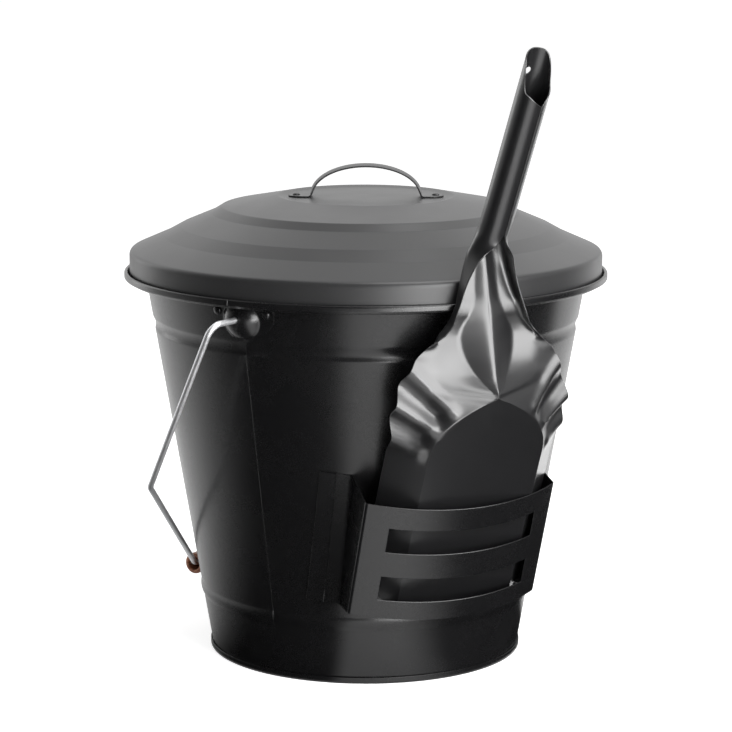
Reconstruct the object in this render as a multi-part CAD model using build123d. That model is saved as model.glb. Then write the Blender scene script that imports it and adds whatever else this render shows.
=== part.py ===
from build123d import *
import os
from math import asin, atan, cos, degrees, hypot, pi, radians, sin, sqrt, tan

# Sizes are in millimetres and angles in degrees.
# The bucket stands on z = 0 with its axis on the Z axis, and its bail turns about the X axis.
# The shovel's pocket faces the front, turned a little to the left.

# Body shell, rim and lid seat
RIM_RADIUS = 184.0
SEAT_HEIGHT = 287.2
RIM_RISE = 6.5
CURL_WIDTH = 3.0
CURL_HEIGHT = 4.8
SEAT_WIDTH = 16.9
SEAT_BEND = 1.2
FOOT_WALL_RADIUS = 118.0
BODY_SHEET = 0.6
SEAM_GAP = 0.1
LAP_LENGTH = 12.0
LAP_CLEARANCE = 0.05
UPPER_BEAD_DROP = 32.2
UPPER_BEAD_DEPTH = 0.9
LOWER_BEAD_HEIGHT = 47.5
LOWER_BEAD_PROUD = 1.2
BEAD_HALF = 5.5

# Bottom plate
BOTTOM_SHEET = 0.6
FLOOR_RAISE = 5.4
HEM_HEIGHT = 4.8
HEM_GAP = 0.7
FOOT_CLEARANCE = 0.1
SKIRT_CLEARANCE = 0.2

# Lid
LID_SHEET = 0.6
LID_SEAT_CLEARANCE = 0.35
LID_RIM_GAP = 1.1
LID_RISE = 62.0
LID_SHOULDER_DROP = 41.3
LID_SHOULDER_ROUND = 3.8
LID_DISC_RADIUS = 67.0
LID_BEND = 1.6
# Feet and heads of the lid's two risers: distance in from the skirt, and drop below the disc.
LID_RISERS = ((26.0, 29.9), (39.1, 22.7), (62.2, 13.0), (70.3, 8.0))

# Lid handle
HANDLE_TURN = 32.3
HANDLE_HALF_SPAN = 41.0
HANDLE_ARCH = 24.2
HANDLE_FOOT = 18.0
HANDLE_WIDTH = 20.0
HANDLE_SHEET = 1.2
HANDLE_RIVET_INSET = 6.0
HANDLE_RIVET_SHANK = 3.0
HANDLE_RIVET_HEAD = 5.6
HANDLE_RIVET_DOME = 1.5

# Ears and their rivets
PIVOT_DROP = 9.7
EAR_SHEET = 1.2
EAR_HALF_WIDTH = 27.0
EAR_FOOT_HALF = 12.0
EAR_CORNER = 4.5
EAR_DROP = 13.5
EAR_TOP_GAP = 0.3
DOME_RADIUS = 17.0
DOME_REACH = 9.9
EAR_RIVET_REACH = 20.8
EAR_RIVET_RISE = 4.8
EAR_RIVET_SHANK = 3.6
EAR_RIVET_HEAD = 6.6
EAR_RIVET_DOME = 2.0
RIVET_CLEARANCE = 0.05
RIVET_TAIL = 1.0
SEAT_GAP = 0.05

# Bail and grip
WIRE_DIAMETER = 4.5
WIRE_CLEARANCE = 0.45
BAIL_SIDE_ROOM = 19.5
BAIL_KINK_INSET = 33.0
BAIL_KINK_DROP = 155.0
BAIL_DROP = 265.0
BAIL_BEND = 6.5
BAIL_HEAD_DIAMETER = 8.0
BAIL_HEAD_LENGTH = 2.0
BAIL_HEAD_INSET = 4.5
GRIP_LENGTH = 76.0
GRIP_DIAMETER = 17.0
GRIP_WALL = 3.25
GRIP_EDGE = 1.0
GRIP_REST_GAP = 0.35

# Shovel holder
HOLDER_TURN = -31.1
HOLDER_MID_HEIGHT = 105.0
HOLDER_RISE = 48.0
HOLDER_FLANGE_RISE = 57.0
HOLDER_FLANGE_DROP = 46.0
HOLDER_SHEET = 0.8
HOLDER_TAPER = 12.3
HOLDER_BOW = 27.2
HOLDER_FRONT_HALF = 76.8
HOLDER_SPLAY = 4.3
HOLDER_LENGTH = 98.0
HOLDER_FLANGE = 17.3
HOLDER_HEM = 9.8
HOLDER_SIDE_SLOPE = 32.0
SLOT_HALF = 59.5
SLOT_DROPS = (21.0, 63.5)
SLOT_HEIGHT = 20.5
STOP_DEPTH = 12.0
STOP_HALF = 54.0

# Shovel
SHOVEL_SHEET = 1.0
SHOVEL_FRONT_GAP = 0.9
SHOVEL_SIDE_GAP = 7.8
SHOVEL_BACK_ROOM = 17.5
SHOVEL_TIP_GAP = 0.4
SHOVEL_RAKE = 8.6
SHOVEL_SIDE_HEIGHT = 22.0
SHOVEL_SIDE_FLARE = 22.5
FLOOR_STRAIGHT = 45.0
FLOOR_ARC = 46.4
RIDGE_SLOPE = 0.861
TUBE_RADIUS = 11.4
TUBE_START = 192.0
TUBE_LENGTH = 331.6
TUBE_SET_BACK = 54.5
TUBE_LEAN = 3.6
TUBE_SLIT = 3.6
TONGUE_LENGTH = 27.0
HANG_HOLE_DIAMETER = 5.5
HANG_HOLE_INSET = 16.0
# Shoulder: level, how far the rim is in from the side walls' edge, added depth, hollow beside the ridge.
SHOULDER_ROWS = (
    (57.0, -1.0, 0.5, 0.0),
    (68.0, -1.5, 1.0, 0.0),
    (78.0, -1.0, 2.0, 0.0),
    (86.0, 0.8, 3.5, 0.2),
    (94.0, 3.0, 5.2, 1.2),
    (104.0, 5.5, 7.0, 3.1),
    (117.0, 13.0, 10.5, 4.3),
    (128.0, 26.0, 12.5, 4.4),
    (140.0, 36.0, 16.5, 2.3),
)
# Neck: level, depth of the ridge, half width of the sheet, and how far that half is curled.
NECK_ROWS = ((152.0, 48.5, 27.5, 34.0), (168.0, 55.8, 25.6, 69.0), (180.0, 61.0, 25.5, 117.0))

# Places that follow from the sizes above
RIM_HEIGHT = SEAT_HEIGHT + RIM_RISE
MOUTH_HEIGHT = SEAT_HEIGHT - SEAT_BEND
MOUTH_WALL_RADIUS = RIM_RADIUS - SEAT_WIDTH
WALL_START = BOTTOM_SHEET + FOOT_CLEARANCE
WALL_SLOPE = (MOUTH_WALL_RADIUS - FOOT_WALL_RADIUS) / MOUTH_HEIGHT
WALL_LEAN = degrees(atan(WALL_SLOPE))
UPPER_BEAD_HEIGHT = SEAT_HEIGHT - UPPER_BEAD_DROP
PIVOT_HEIGHT = SEAT_HEIGHT - PIVOT_DROP
PIVOT_WALL = FOOT_WALL_RADIUS + WALL_SLOPE * PIVOT_HEIGHT
DOME_CROWN = PIVOT_WALL + DOME_REACH
HEM_SKIRT_RADIUS = FOOT_WALL_RADIUS - BODY_SHEET - BOTTOM_SHEET - SKIRT_CLEARANCE
HEM_RADIUS = FOOT_WALL_RADIUS + WALL_SLOPE * HEM_HEIGHT + HEM_GAP + BOTTOM_SHEET
LID_RADIUS = RIM_RADIUS - CURL_WIDTH - LID_RIM_GAP
LID_BASE = SEAT_HEIGHT + BODY_SHEET + LID_SEAT_CLEARANCE
LID_TOP = LID_BASE + LID_RISE
HANDLE_FOOT_REACH = HANDLE_HALF_SPAN + HANDLE_FOOT
HANDLE_RIVET_REACH = HANDLE_FOOT_REACH - HANDLE_RIVET_INSET
BAIL_SHOULDER = RIM_RADIUS + BAIL_SIDE_ROOM
BAIL_KINK_REACH = BAIL_SHOULDER - BAIL_KINK_INSET
HOLDER_FOOT_HALF = HOLDER_FRONT_HALF - HOLDER_SPLAY
HOLDER_FRONT_RADIUS = (HOLDER_FRONT_HALF**2 + HOLDER_BOW**2) / (2 * HOLDER_BOW)
HOLDER_STAND_OFF = SHOVEL_SIDE_HEIGHT + SHOVEL_BACK_ROOM
SHOVEL_HALF = HOLDER_FRONT_HALF - SHOVEL_SIDE_GAP
SHOVEL_FLOOR_HALF = SHOVEL_HALF - SHOVEL_SIDE_FLARE


def wall_radius(height):
    """Outer radius of the plain wall at a height."""
    return FOOT_WALL_RADIUS + WALL_SLOPE * height


def moved(points, distance):
    """The same line of points, moved to the left of travel with mitred corners."""
    result = []
    last = len(points) - 1
    for index, (x, y) in enumerate(points):
        before = points[max(index - 1, 0)]
        after = points[min(index + 1, last)]
        first = (x - before[0], y - before[1]) if index else (after[0] - x, after[1] - y)
        second = (after[0] - x, after[1] - y) if index < last else first
        n1 = (-first[1] / hypot(*first), first[0] / hypot(*first))
        n2 = (-second[1] / hypot(*second), second[0] / hypot(*second))
        scale = distance / (1 + n1[0] * n2[0] + n1[1] * n2[1])
        result.append((x + (n1[0] + n2[0]) * scale, y + (n1[1] + n2[1]) * scale))
    return result


def strip(points, thickness):
    """Closed outline of a sheet: the line of points, and the same line one thickness to its left."""
    return list(points) + moved(points, thickness)[::-1]


def eased(points, rounds):
    """A line of points whose inner corners are each cut by an arc's end points and middle."""
    result = [points[0]]
    for corner, (before, point, after) in enumerate(zip(points, points[1:], points[2:])):
        ends = []
        for other in (before, after):
            run = (other[0] - point[0], other[1] - point[1])
            share = rounds[corner] / hypot(*run)
            ends.append((point[0] + run[0] * share, point[1] + run[1] * share))
        middle = [(ends[0][axis] + ends[1][axis] + 2 * point[axis]) / 4 for axis in (0, 1)]
        result += [ends[0], tuple(middle), ends[1]]
    return result + [points[-1]]


def turned(outline, start=0.0, arc=360.0):
    """A solid of revolution about Z from an outline of (radius, height) points."""
    face = Plane.XZ * make_face(Polyline(*outline, close=True))
    solid = revolve(face, Axis.Z, revolution_arc=arc)
    return Rot(0, 0, start) * solid


def bar(start, end, radius):
    """A round bar from one point to another."""
    line = Line(start, end)
    return extrude(Plane(origin=start, z_dir=line % 0) * Circle(radius), line.length)


def local_box(plane, x, y, z):
    """A box given by its low and high ends along a plane's three directions."""
    box = Box(x[1] - x[0], y[1] - y[0], z[1] - z[0])
    return plane * (Pos((x[0] + x[1]) / 2, (y[0] + y[1]) / 2, (z[0] + z[1]) / 2) * box)


def rivet(shank, head, dome, back, front):
    """A rivet along Z: flat tail behind, shank, and a domed head in front."""
    half = head / 2
    ball = (half**2 + dome**2) / (2 * dome)
    outline = [(0, back - RIVET_TAIL), (half, back - RIVET_TAIL), (half, back)]
    outline += [(shank / 2, back), (shank / 2, front), (half, front)]
    steps = 8
    for step in range(1, steps + 1):
        turn = asin(half / ball) * (1 - step / steps)
        outline.append((ball * sin(turn), front + dome - ball + ball * cos(turn)))
    return turned(outline)


def bead_points():
    """Outer wall line from the foot to the mouth, with the lower ridge and the upper groove."""
    points = [(wall_radius(WALL_START), WALL_START)]
    for height, proud in ((LOWER_BEAD_HEIGHT, LOWER_BEAD_PROUD), (UPPER_BEAD_HEIGHT, -UPPER_BEAD_DEPTH)):
        for offset, share in ((-1, 0), (-0.45, 0.8), (0, 1), (0.45, 0.8), (1, 0)):
            level = height + offset * BEAD_HALF
            points.append((wall_radius(level) + proud * share, level))
    return points


def shell_outline():
    """The half shell's sheet: wall, lid seat and open rolled rim."""
    leg = RIM_RADIUS - CURL_WIDTH + BODY_SHEET
    cheek = RIM_RADIUS - BODY_SHEET
    crown = RIM_HEIGHT - BODY_SHEET
    bend = 0.5
    points = bead_points()
    points += [
        (wall_radius(MOUTH_HEIGHT), MOUTH_HEIGHT),
        (wall_radius(MOUTH_HEIGHT) + SEAT_BEND, SEAT_HEIGHT),
        (leg - SEAT_BEND, SEAT_HEIGHT),
        (leg, SEAT_HEIGHT + SEAT_BEND),
        (leg, crown - bend),
        (leg + bend, crown),
        (cheek - bend, crown),
        (cheek, crown - bend),
        (cheek, RIM_HEIGHT - CURL_HEIGHT),
    ]
    return strip(points, BODY_SHEET)


def lap_outline(depth):
    """The lap's sheet, from a depth behind the wall's face to its own inner face."""
    foot = FLOOR_RAISE + BOTTOM_SHEET + 2
    head = MOUTH_HEIGHT - 4
    line = [(wall_radius(foot), foot)] + bead_points()[1:] + [(wall_radius(head), head)]
    return moved(line, depth) + moved(line, 2 * BODY_SHEET + LAP_CLEARANCE)[::-1]


def make_shell(front):
    """One half of the body: the front half lies over the rear half's laps."""
    gap = degrees(SEAM_GAP / RIM_RADIUS)
    if front:
        shell = turned(shell_outline(), 180 + gap, 180 - 2 * gap)
    else:
        shell = turned(shell_outline(), 0, 180)
        lap = degrees(LAP_LENGTH / MOUTH_WALL_RADIUS)
        tucked = lap_outline(BODY_SHEET + LAP_CLEARANCE)
        joined = lap_outline(BODY_SHEET / 2)
        for outline, start in ((tucked, -lap), (tucked, 180), (joined, 0), (joined, 180 - lap)):
            shell += turned(outline, start, lap)
    hand = -1 if front else 1
    for side in (-1, 1):
        shell -= ear_rivet_bore(side, hand)
    return shell


def make_bottom():
    """Bottom plate: a raised disc, a skirt, and a flange rolled up outside the wall."""
    bend = 0.5
    points = [
        (0, FLOOR_RAISE),
        (HEM_SKIRT_RADIUS, FLOOR_RAISE),
        (HEM_SKIRT_RADIUS, 0),
        (HEM_RADIUS - bend, 0),
        (HEM_RADIUS, bend),
        (HEM_RADIUS, HEM_HEIGHT),
    ]
    return turned(strip(points, BOTTOM_SHEET))


def wall_skin(middle, spread, inner, outer, low, high):
    """A curved slab that follows the wall, between two distances from it and two heights."""
    outline = [
        (wall_radius(low) + inner, low),
        (wall_radius(low) + outer, low),
        (wall_radius(high) + outer, high),
        (wall_radius(high) + inner, high),
    ]
    return turned(outline, middle - spread, 2 * spread)


def ear_rivet_plane(side, hand):
    """Plane on the wall at an ear rivet, facing outward; side and hand are -1 or 1."""
    height = PIVOT_HEIGHT + EAR_RIVET_RISE
    reach = wall_radius(height)
    turn = hand * EAR_RIVET_REACH / reach
    lean = radians(WALL_LEAN)
    place = Vector(side * reach * cos(turn), reach * sin(turn), height)
    out = Vector(side * cos(turn) * cos(lean), sin(turn) * cos(lean), -sin(lean))
    return Plane(origin=place, z_dir=out)


def ear_rivet_bore(side, hand):
    """The round hole that an ear rivet passes through, as a bar."""
    radius = EAR_RIVET_SHANK / 2 + RIVET_CLEARANCE
    return ear_rivet_plane(side, hand) * Cylinder(radius, 12)


def ear_outline():
    """Outline of the ear plate seen from outside: straight top, cut lower corners."""
    top = MOUTH_HEIGHT - EAR_TOP_GAP
    waist = top - EAR_RIVET_HEAD - 2.6
    half = [
        (EAR_FOOT_HALF, PIVOT_HEIGHT - EAR_DROP),
        (EAR_HALF_WIDTH - EAR_CORNER, waist - 7),
        (EAR_HALF_WIDTH, waist),
        (EAR_HALF_WIDTH, top),
    ]
    return half + [(-x, z) for x, z in reversed(half)]


def make_ear():
    """Domed ear plate seated on the wall under the rim, on the far side."""
    low = PIVOT_HEIGHT - 2 * DOME_RADIUS
    high = RIM_HEIGHT + DOME_RADIUS
    plate = wall_skin(0, 30, SEAT_GAP, SEAT_GAP + EAR_SHEET, low, high)
    plate &= extrude(Plane.YZ * make_face(Polyline(*ear_outline(), close=True)), amount=2 * RIM_RADIUS)
    centre = Vector(DOME_CROWN - DOME_RADIUS, 0, PIVOT_HEIGHT)
    core = wall_skin(0, 30, -40, SEAT_GAP, low, high)
    ceiling = local_box(Plane.XY, (0, 400), (-40, 40), (MOUTH_HEIGHT - EAR_TOP_GAP, high + 40))
    dome = Pos(centre) * Sphere(DOME_RADIUS) - core - ceiling
    ear = plate + dome - Pos(centre) * Sphere(DOME_RADIUS - EAR_SHEET)
    inner = Vector(PIVOT_WALL, 0, PIVOT_HEIGHT)
    outer = Vector(DOME_CROWN + 5, 0, PIVOT_HEIGHT)
    ear -= bar(inner, outer, WIRE_DIAMETER / 2 + WIRE_CLEARANCE)
    for hand in (-1, 1):
        ear -= ear_rivet_bore(1, hand)
    return ear


def make_ear_rivets(side):
    """Two domed rivets that hold an ear to the wall."""
    back = -BODY_SHEET - RIVET_CLEARANCE
    front = SEAT_GAP + EAR_SHEET + RIVET_CLEARANCE
    body = rivet(EAR_RIVET_SHANK, EAR_RIVET_HEAD, EAR_RIVET_DOME, back, front)
    return Compound([ear_rivet_plane(side, hand) * body for hand in (-1, 1)])


def hang_angle():
    """Angle from plumb at which the hanging bail's grip comes to rest on the lower ridge."""
    stand_off = (GRIP_DIAMETER / 2 + GRIP_REST_GAP) / cos(radians(WALL_LEAN))
    angle = 0.5
    for _ in range(30):
        height = PIVOT_HEIGHT - BAIL_DROP * cos(angle)
        angle = asin((wall_radius(height) + LOWER_BEAD_PROUD + stand_off) / BAIL_DROP)
    return angle


def make_bail():
    """Bail wire, drawn hanging at the rear: headed ends, shoulders, kinks and a straight grip run."""
    lean = hang_angle()
    plane = Plane(origin=(0, 0, PIVOT_HEIGHT), x_dir=(1, 0, 0), z_dir=(0, cos(lean), sin(lean)))
    end = PIVOT_WALL + BAIL_HEAD_INSET
    run = GRIP_LENGTH / 2 - GRIP_EDGE
    half = [(end, 0), (BAIL_SHOULDER, 0), (BAIL_KINK_REACH, BAIL_KINK_DROP), (run, BAIL_DROP)]
    corners = [(-x, drop) for x, drop in half] + half[::-1]
    path = plane * FilletPolyline(*corners, radius=BAIL_BEND)
    wire = sweep(Plane(origin=path @ 0, z_dir=path % 0) * Circle(WIRE_DIAMETER / 2), path)
    for side in (-1, 1):
        inner = Vector(side * end, 0, PIVOT_HEIGHT)
        outer = Vector(side * (end + BAIL_HEAD_LENGTH), 0, PIVOT_HEIGHT)
        wire += bar(inner, outer, BAIL_HEAD_DIAMETER / 2)
    return wire


def make_grip():
    """Turned wooden sleeve on the bail's straight run."""
    lean = hang_angle()
    grip = Cylinder(GRIP_DIAMETER / 2, GRIP_LENGTH)
    grip = fillet(grip.edges().filter_by(GeomType.CIRCLE), GRIP_EDGE)
    grip -= Cylinder(GRIP_DIAMETER / 2 - GRIP_WALL, GRIP_LENGTH + 2)
    return Pos(0, BAIL_DROP * sin(lean), PIVOT_HEIGHT - BAIL_DROP * cos(lean)) * Rot(0, 90, 0) * grip


def handle_rivet_place(side):
    """Place of a lid handle rivet on the lid's disc; side is -1 or 1."""
    turn = radians(HANDLE_TURN)
    reach = side * HANDLE_RIVET_REACH
    return Pos(reach * sin(turn), -reach * cos(turn), LID_TOP)


def make_lid():
    """Stepped lid: skirt, rounded shoulder, three sloping bands between two risers, flat disc."""
    corners = [(LID_RADIUS, LID_BASE), (LID_RADIUS, LID_TOP - LID_SHOULDER_DROP)]
    corners += [(LID_RADIUS - inset, LID_TOP - drop) for inset, drop in LID_RISERS]
    corners += [(LID_DISC_RADIUS, LID_TOP), (0, LID_TOP)]
    line = eased(corners, [LID_SHOULDER_ROUND] + [LID_BEND] * 5)
    lid = turned(strip(line, LID_SHEET))
    for side in (-1, 1):
        lid -= handle_rivet_place(side) * Cylinder(HANDLE_RIVET_SHANK / 2 + RIVET_CLEARANCE, 6)
    return lid


def make_lid_handle():
    """Arched strap with a flat foot at each end."""
    base = LID_TOP + SEAT_GAP
    rise = HANDLE_ARCH - HANDLE_SHEET
    bend = 0.8
    points = [(HANDLE_FOOT_REACH, base), (HANDLE_HALF_SPAN + bend, base)]
    steps = 24
    for step in range(1, steps):
        turn = pi * step / steps
        points.append((HANDLE_HALF_SPAN * cos(turn), base + rise * sin(turn)))
    points += [(-HANDLE_HALF_SPAN - bend, base), (-HANDLE_FOOT_REACH, base)]
    face = Plane.XZ * make_face(Polyline(*strip(points, -HANDLE_SHEET), close=True))
    strap = Rot(0, 0, HANDLE_TURN - 90) * extrude(face, HANDLE_WIDTH / 2, both=True)
    for side in (-1, 1):
        strap -= handle_rivet_place(side) * Cylinder(HANDLE_RIVET_SHANK / 2 + RIVET_CLEARANCE, 6)
    return strap


def make_handle_rivets():
    """Two small domed rivets through the handle's feet and the lid."""
    back = -LID_SHEET - RIVET_CLEARANCE
    front = SEAT_GAP + HANDLE_SHEET + RIVET_CLEARANCE
    body = rivet(HANDLE_RIVET_SHANK, HANDLE_RIVET_HEAD, HANDLE_RIVET_DOME, back, front)
    return Compound([handle_rivet_place(side) * body for side in (-1, 1)])


def holder_plane():
    """Plane on the wall behind the pocket: x across, y up the wall, z out of it."""
    turn = radians(HOLDER_TURN)
    lean = radians(WALL_LEAN)
    out = Vector(sin(turn), -cos(turn), 0)
    origin = out * wall_radius(HOLDER_MID_HEIGHT) + Vector(0, 0, HOLDER_MID_HEIGHT)
    normal = out * cos(lean) - Vector(0, 0, sin(lean))
    return Plane(origin=origin, x_dir=(cos(turn), sin(turn), 0), z_dir=normal)


def pocket_plane():
    """Plane of the pocket's front at its top centre: y runs up the leaning front."""
    wall = holder_plane()
    taper = radians(HOLDER_TAPER)
    origin = wall.origin + wall.y_dir * HOLDER_RISE + wall.z_dir * HOLDER_STAND_OFF
    normal = wall.z_dir * cos(taper) - wall.y_dir * sin(taper)
    return Plane(origin=origin, x_dir=wall.x_dir, z_dir=normal)


def across_pocket(level, depth=0.0):
    """Plane across the pocket at a level up its front: x across, y outward."""
    pocket = pocket_plane()
    origin = pocket.origin + pocket.y_dir * level - pocket.z_dir * depth
    return Plane(origin=origin, x_dir=pocket.x_dir, z_dir=-pocket.y_dir)


def side_slab(points, half):
    """Slab across the pocket from an outline of (outward, up) points in its side view."""
    pocket = pocket_plane()
    plane = Plane(origin=pocket.origin, x_dir=pocket.z_dir, z_dir=-pocket.x_dir)
    return extrude(plane * make_face(Polyline(*points, close=True)), half, both=True)


def front_depth(x, inset=0.0):
    """How far the bowed front lies behind its own crown at a sideways distance."""
    radius = HOLDER_FRONT_RADIUS - inset
    return HOLDER_FRONT_RADIUS - sqrt(radius**2 - x**2)


def pocket_tube(inset, low, high):
    """The pocket's closed shape between two levels, inset by the sheet or not."""
    back = HOLDER_BOW + HOLDER_STAND_OFF
    half = HOLDER_FRONT_HALF - inset
    foot = HOLDER_FOOT_HALF - inset
    steps = 16
    points = [(foot, -back)]
    for step in range(steps + 1):
        x = half * (1 - 2 * step / steps)
        points.append((x, -front_depth(x, inset)))
    points.append((-foot, -back))
    return extrude(across_pocket(low) * make_face(Polyline(*points, close=True)), low - high)


def stop_lip():
    """Lip turned in at the foot of the front, on which the shovel stands."""
    steps = 8
    front = []
    for step in range(steps + 1):
        x = STOP_HALF * (1 - 2 * step / steps)
        front.append((x, -front_depth(x, HOLDER_SHEET / 2)))
    back = [(x, y - STOP_DEPTH) for x, y in reversed(front)]
    outline = make_face(Polyline(*front, *back, close=True))
    return extrude(across_pocket(-HOLDER_LENGTH) * outline, -HOLDER_SHEET)


def make_holder():
    """Shovel holder: one folded sheet with hemmed flanges, splayed sides and a slotted front."""
    wall = holder_plane()
    pocket = pocket_plane()
    middle = HOLDER_TURN - 90
    low = WALL_START
    high = SEAT_HEIGHT
    body = pocket_tube(0, -HOLDER_LENGTH, 20)
    body -= pocket_tube(HOLDER_SHEET, -HOLDER_LENGTH - 1, 21)
    body -= wall_skin(middle, 60, -60, SEAT_GAP + HOLDER_SHEET / 4, low, high)
    rise = (HOLDER_FLANGE_RISE - HOLDER_RISE) / cos(radians(HOLDER_TAPER))
    body -= side_slab([(-90, rise), (-HOLDER_SIDE_SLOPE, 0), (20, 0), (20, 60), (-90, 60)], 120)
    for drop in SLOT_DROPS:
        body -= local_box(pocket, (-SLOT_HALF, SLOT_HALF), (-drop - SLOT_HEIGHT, -drop), (-24, 6))
    outer = HOLDER_FOOT_HALF + HOLDER_FLANGE
    level = (-HOLDER_FLANGE_DROP, HOLDER_FLANGE_RISE)
    for sheets, inner in ((1, HOLDER_FOOT_HALF - HOLDER_SHEET), (2, outer - HOLDER_HEM)):
        sheet = wall_skin(middle, 60, SEAT_GAP, SEAT_GAP + sheets * HOLDER_SHEET, low, high)
        for side in (-1, 1):
            body += sheet & local_box(wall, sorted((side * inner, side * outer)), level, (-60, 20))
    return body + stop_lip()


def shovel_inset():
    """How far the shovel's floor lies behind the pocket's crown, so that it clears the bow."""
    return front_depth(SHOVEL_FLOOR_HALF, HOLDER_SHEET) + SHOVEL_FRONT_GAP


def pan_section(flat, ridge, half, rim, hollow):
    """Half section of the pan: flat floor, then a rise to the rim that may be hollowed."""
    crease = max(flat, 0.27 * half)
    steps = 4
    xs = [crease * step / steps for step in range(steps)]
    xs += [crease + (half - crease) * step / steps for step in range(steps + 1)]
    points = []
    for x in xs:
        share = max(0.0, (x - flat) / (half - flat))
        points.append((x, -ridge - (rim - ridge) * share - hollow * sin(pi * share)))
    return points


def curled_section(ridge, half, curl):
    """Half section of the neck or tube: the sheet's half width curled through an angle."""
    radius = half / radians(curl)
    steps = 8
    turns = [radians(curl) * step / steps for step in range(steps + 1)]
    return [(radius * sin(turn), -ridge + radius * (1 - cos(turn))) for turn in turns]


def shovel_stations():
    """Half sections of the shovel's outward face: (level, [(across, depth), ...])."""
    pan = pan_section(SHOVEL_FLOOR_HALF, 0, SHOVEL_HALF, SHOVEL_SIDE_HEIGHT, 0)
    stations = [(-HOLDER_LENGTH - 20, pan), (FLOOR_STRAIGHT, pan)]
    for level, inset, deeper, hollow in SHOULDER_ROWS:
        share = max(0.0, 1 - (level - FLOOR_STRAIGHT) / FLOOR_ARC)
        flat = SHOVEL_FLOOR_HALF * sqrt(share)
        ridge = max(0.0, level - FLOOR_STRAIGHT - FLOOR_ARC) * RIDGE_SLOPE
        rim = SHOVEL_SIDE_HEIGHT + deeper
        stations.append((level, pan_section(flat, ridge, SHOVEL_HALF - inset, rim, hollow)))
    for level, ridge, half, curl in NECK_ROWS:
        stations.append((level, curled_section(ridge, half, curl)))
    inner = TUBE_RADIUS - SHOVEL_SHEET
    closed = 180 - TUBE_SLIT
    for level in (TUBE_START, TUBE_LENGTH):
        stations.append((level, curled_section(tube_depth(level) + inner, inner * radians(closed), closed)))
    return stations


def tube_depth(level):
    """Depth of the tube's axis behind the floor at a level."""
    return TUBE_SET_BACK - (level - TUBE_START) * tan(radians(TUBE_LEAN))


def shovel_section(level, half):
    """Closed outline of the sheet at one level, its thickness set toward the bucket."""
    line = [(-x, y) for x, y in half[:0:-1]] + half
    return across_pocket(level, shovel_inset()) * make_face(Polyline(*strip(line, -SHOVEL_SHEET), close=True))


def make_shovel():
    """Shovel: one sheet from the raked front edge to the tongue with the hanging hole."""
    pocket = pocket_plane()
    shovel = loft([shovel_section(level, half) for level, half in shovel_stations()], ruled=True)
    tip = -HOLDER_LENGTH + HOLDER_SHEET + SHOVEL_TIP_GAP
    floor = -shovel_inset()
    rake = 60 * SHOVEL_RAKE / SHOVEL_SIDE_HEIGHT
    nose = [(10, tip), (floor, tip), (floor - 60, tip + rake), (floor - 60, tip - 90), (10, tip - 90)]
    shovel -= side_slab(nose, 100)
    axis = floor - tube_depth(TUBE_LENGTH)
    half = TUBE_RADIUS + 2
    ends = (TUBE_LENGTH - TONGUE_LENGTH, TUBE_LENGTH + 5)
    shovel -= local_box(pocket, (-half, half), ends, (axis - 1, axis + 30))
    round_centre = TUBE_LENGTH - TUBE_RADIUS
    corner = local_box(pocket, (-half, half), (round_centre, TUBE_LENGTH + 5), (axis - 30, axis + 30))
    keep = Pos(0, round_centre, axis) * Cylinder(TUBE_RADIUS + 0.05, 60)
    shovel -= corner - pocket * keep
    hole = Pos(0, TUBE_LENGTH - HANG_HOLE_INSET, axis - 15) * Cylinder(HANG_HOLE_DIAMETER / 2, 30)
    return shovel - pocket * hole


def main():
    """Builds every piece and writes one file for each."""
    os.makedirs("parts", exist_ok=True)
    pieces = {
        "body_front": make_shell(True),
        "body_rear": make_shell(False),
        "bottom_plate": make_bottom(),
        "ear_near": Rot(0, 0, 180) * make_ear(),
        "ear_far": make_ear(),
        "ear_rivets_near": make_ear_rivets(-1),
        "ear_rivets_far": make_ear_rivets(1),
        "bail_wire": make_bail(),
        "bail_grip": make_grip(),
        "lid_shell": make_lid(),
        "lid_handle": make_lid_handle(),
        "lid_handle_rivets": make_handle_rivets(),
        "shovel_holder": make_holder(),
        "shovel": make_shovel(),
    }
    for name, piece in pieces.items():
        export_step(piece, "parts/" + name + ".step")


main()
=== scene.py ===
"""Ash bucket with a stepped lid, a wire bail and a shovel in its holder, dressed for rendering.

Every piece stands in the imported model's own frame. Sizes in the classes are in millimetres and
angles in degrees; a mesh is turned to metres when it is made. The bucket stands on z = 0, its
axis is Z, the bail turns about X, and the shovel's holder faces the front, a little to the left.
"""

from __future__ import annotations

import logging
from dataclasses import dataclass, field
from enum import Enum
from typing import Any, Dict, Optional, Sequence, Tuple

import bpy
import numpy as np
from mathutils import Matrix, Vector

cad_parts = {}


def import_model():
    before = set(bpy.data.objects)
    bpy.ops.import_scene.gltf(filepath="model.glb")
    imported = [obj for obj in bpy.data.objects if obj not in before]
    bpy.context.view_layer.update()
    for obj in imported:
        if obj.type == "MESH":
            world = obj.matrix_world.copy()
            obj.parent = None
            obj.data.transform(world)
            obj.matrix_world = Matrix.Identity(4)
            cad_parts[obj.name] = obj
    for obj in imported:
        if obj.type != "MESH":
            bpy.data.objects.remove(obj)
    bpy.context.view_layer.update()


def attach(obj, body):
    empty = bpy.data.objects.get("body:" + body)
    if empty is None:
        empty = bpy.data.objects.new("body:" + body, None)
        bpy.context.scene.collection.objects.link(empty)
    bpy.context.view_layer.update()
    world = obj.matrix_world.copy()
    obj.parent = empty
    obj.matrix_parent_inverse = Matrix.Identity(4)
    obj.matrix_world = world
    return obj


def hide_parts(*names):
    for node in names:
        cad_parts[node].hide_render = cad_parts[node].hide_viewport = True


log = logging.getLogger("ash_bucket")
MM = 0.001
Grid = np.ndarray
Triple = Tuple[float, float, float]
Table = Tuple[Tuple[float, ...], ...]


# Surfaces


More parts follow.
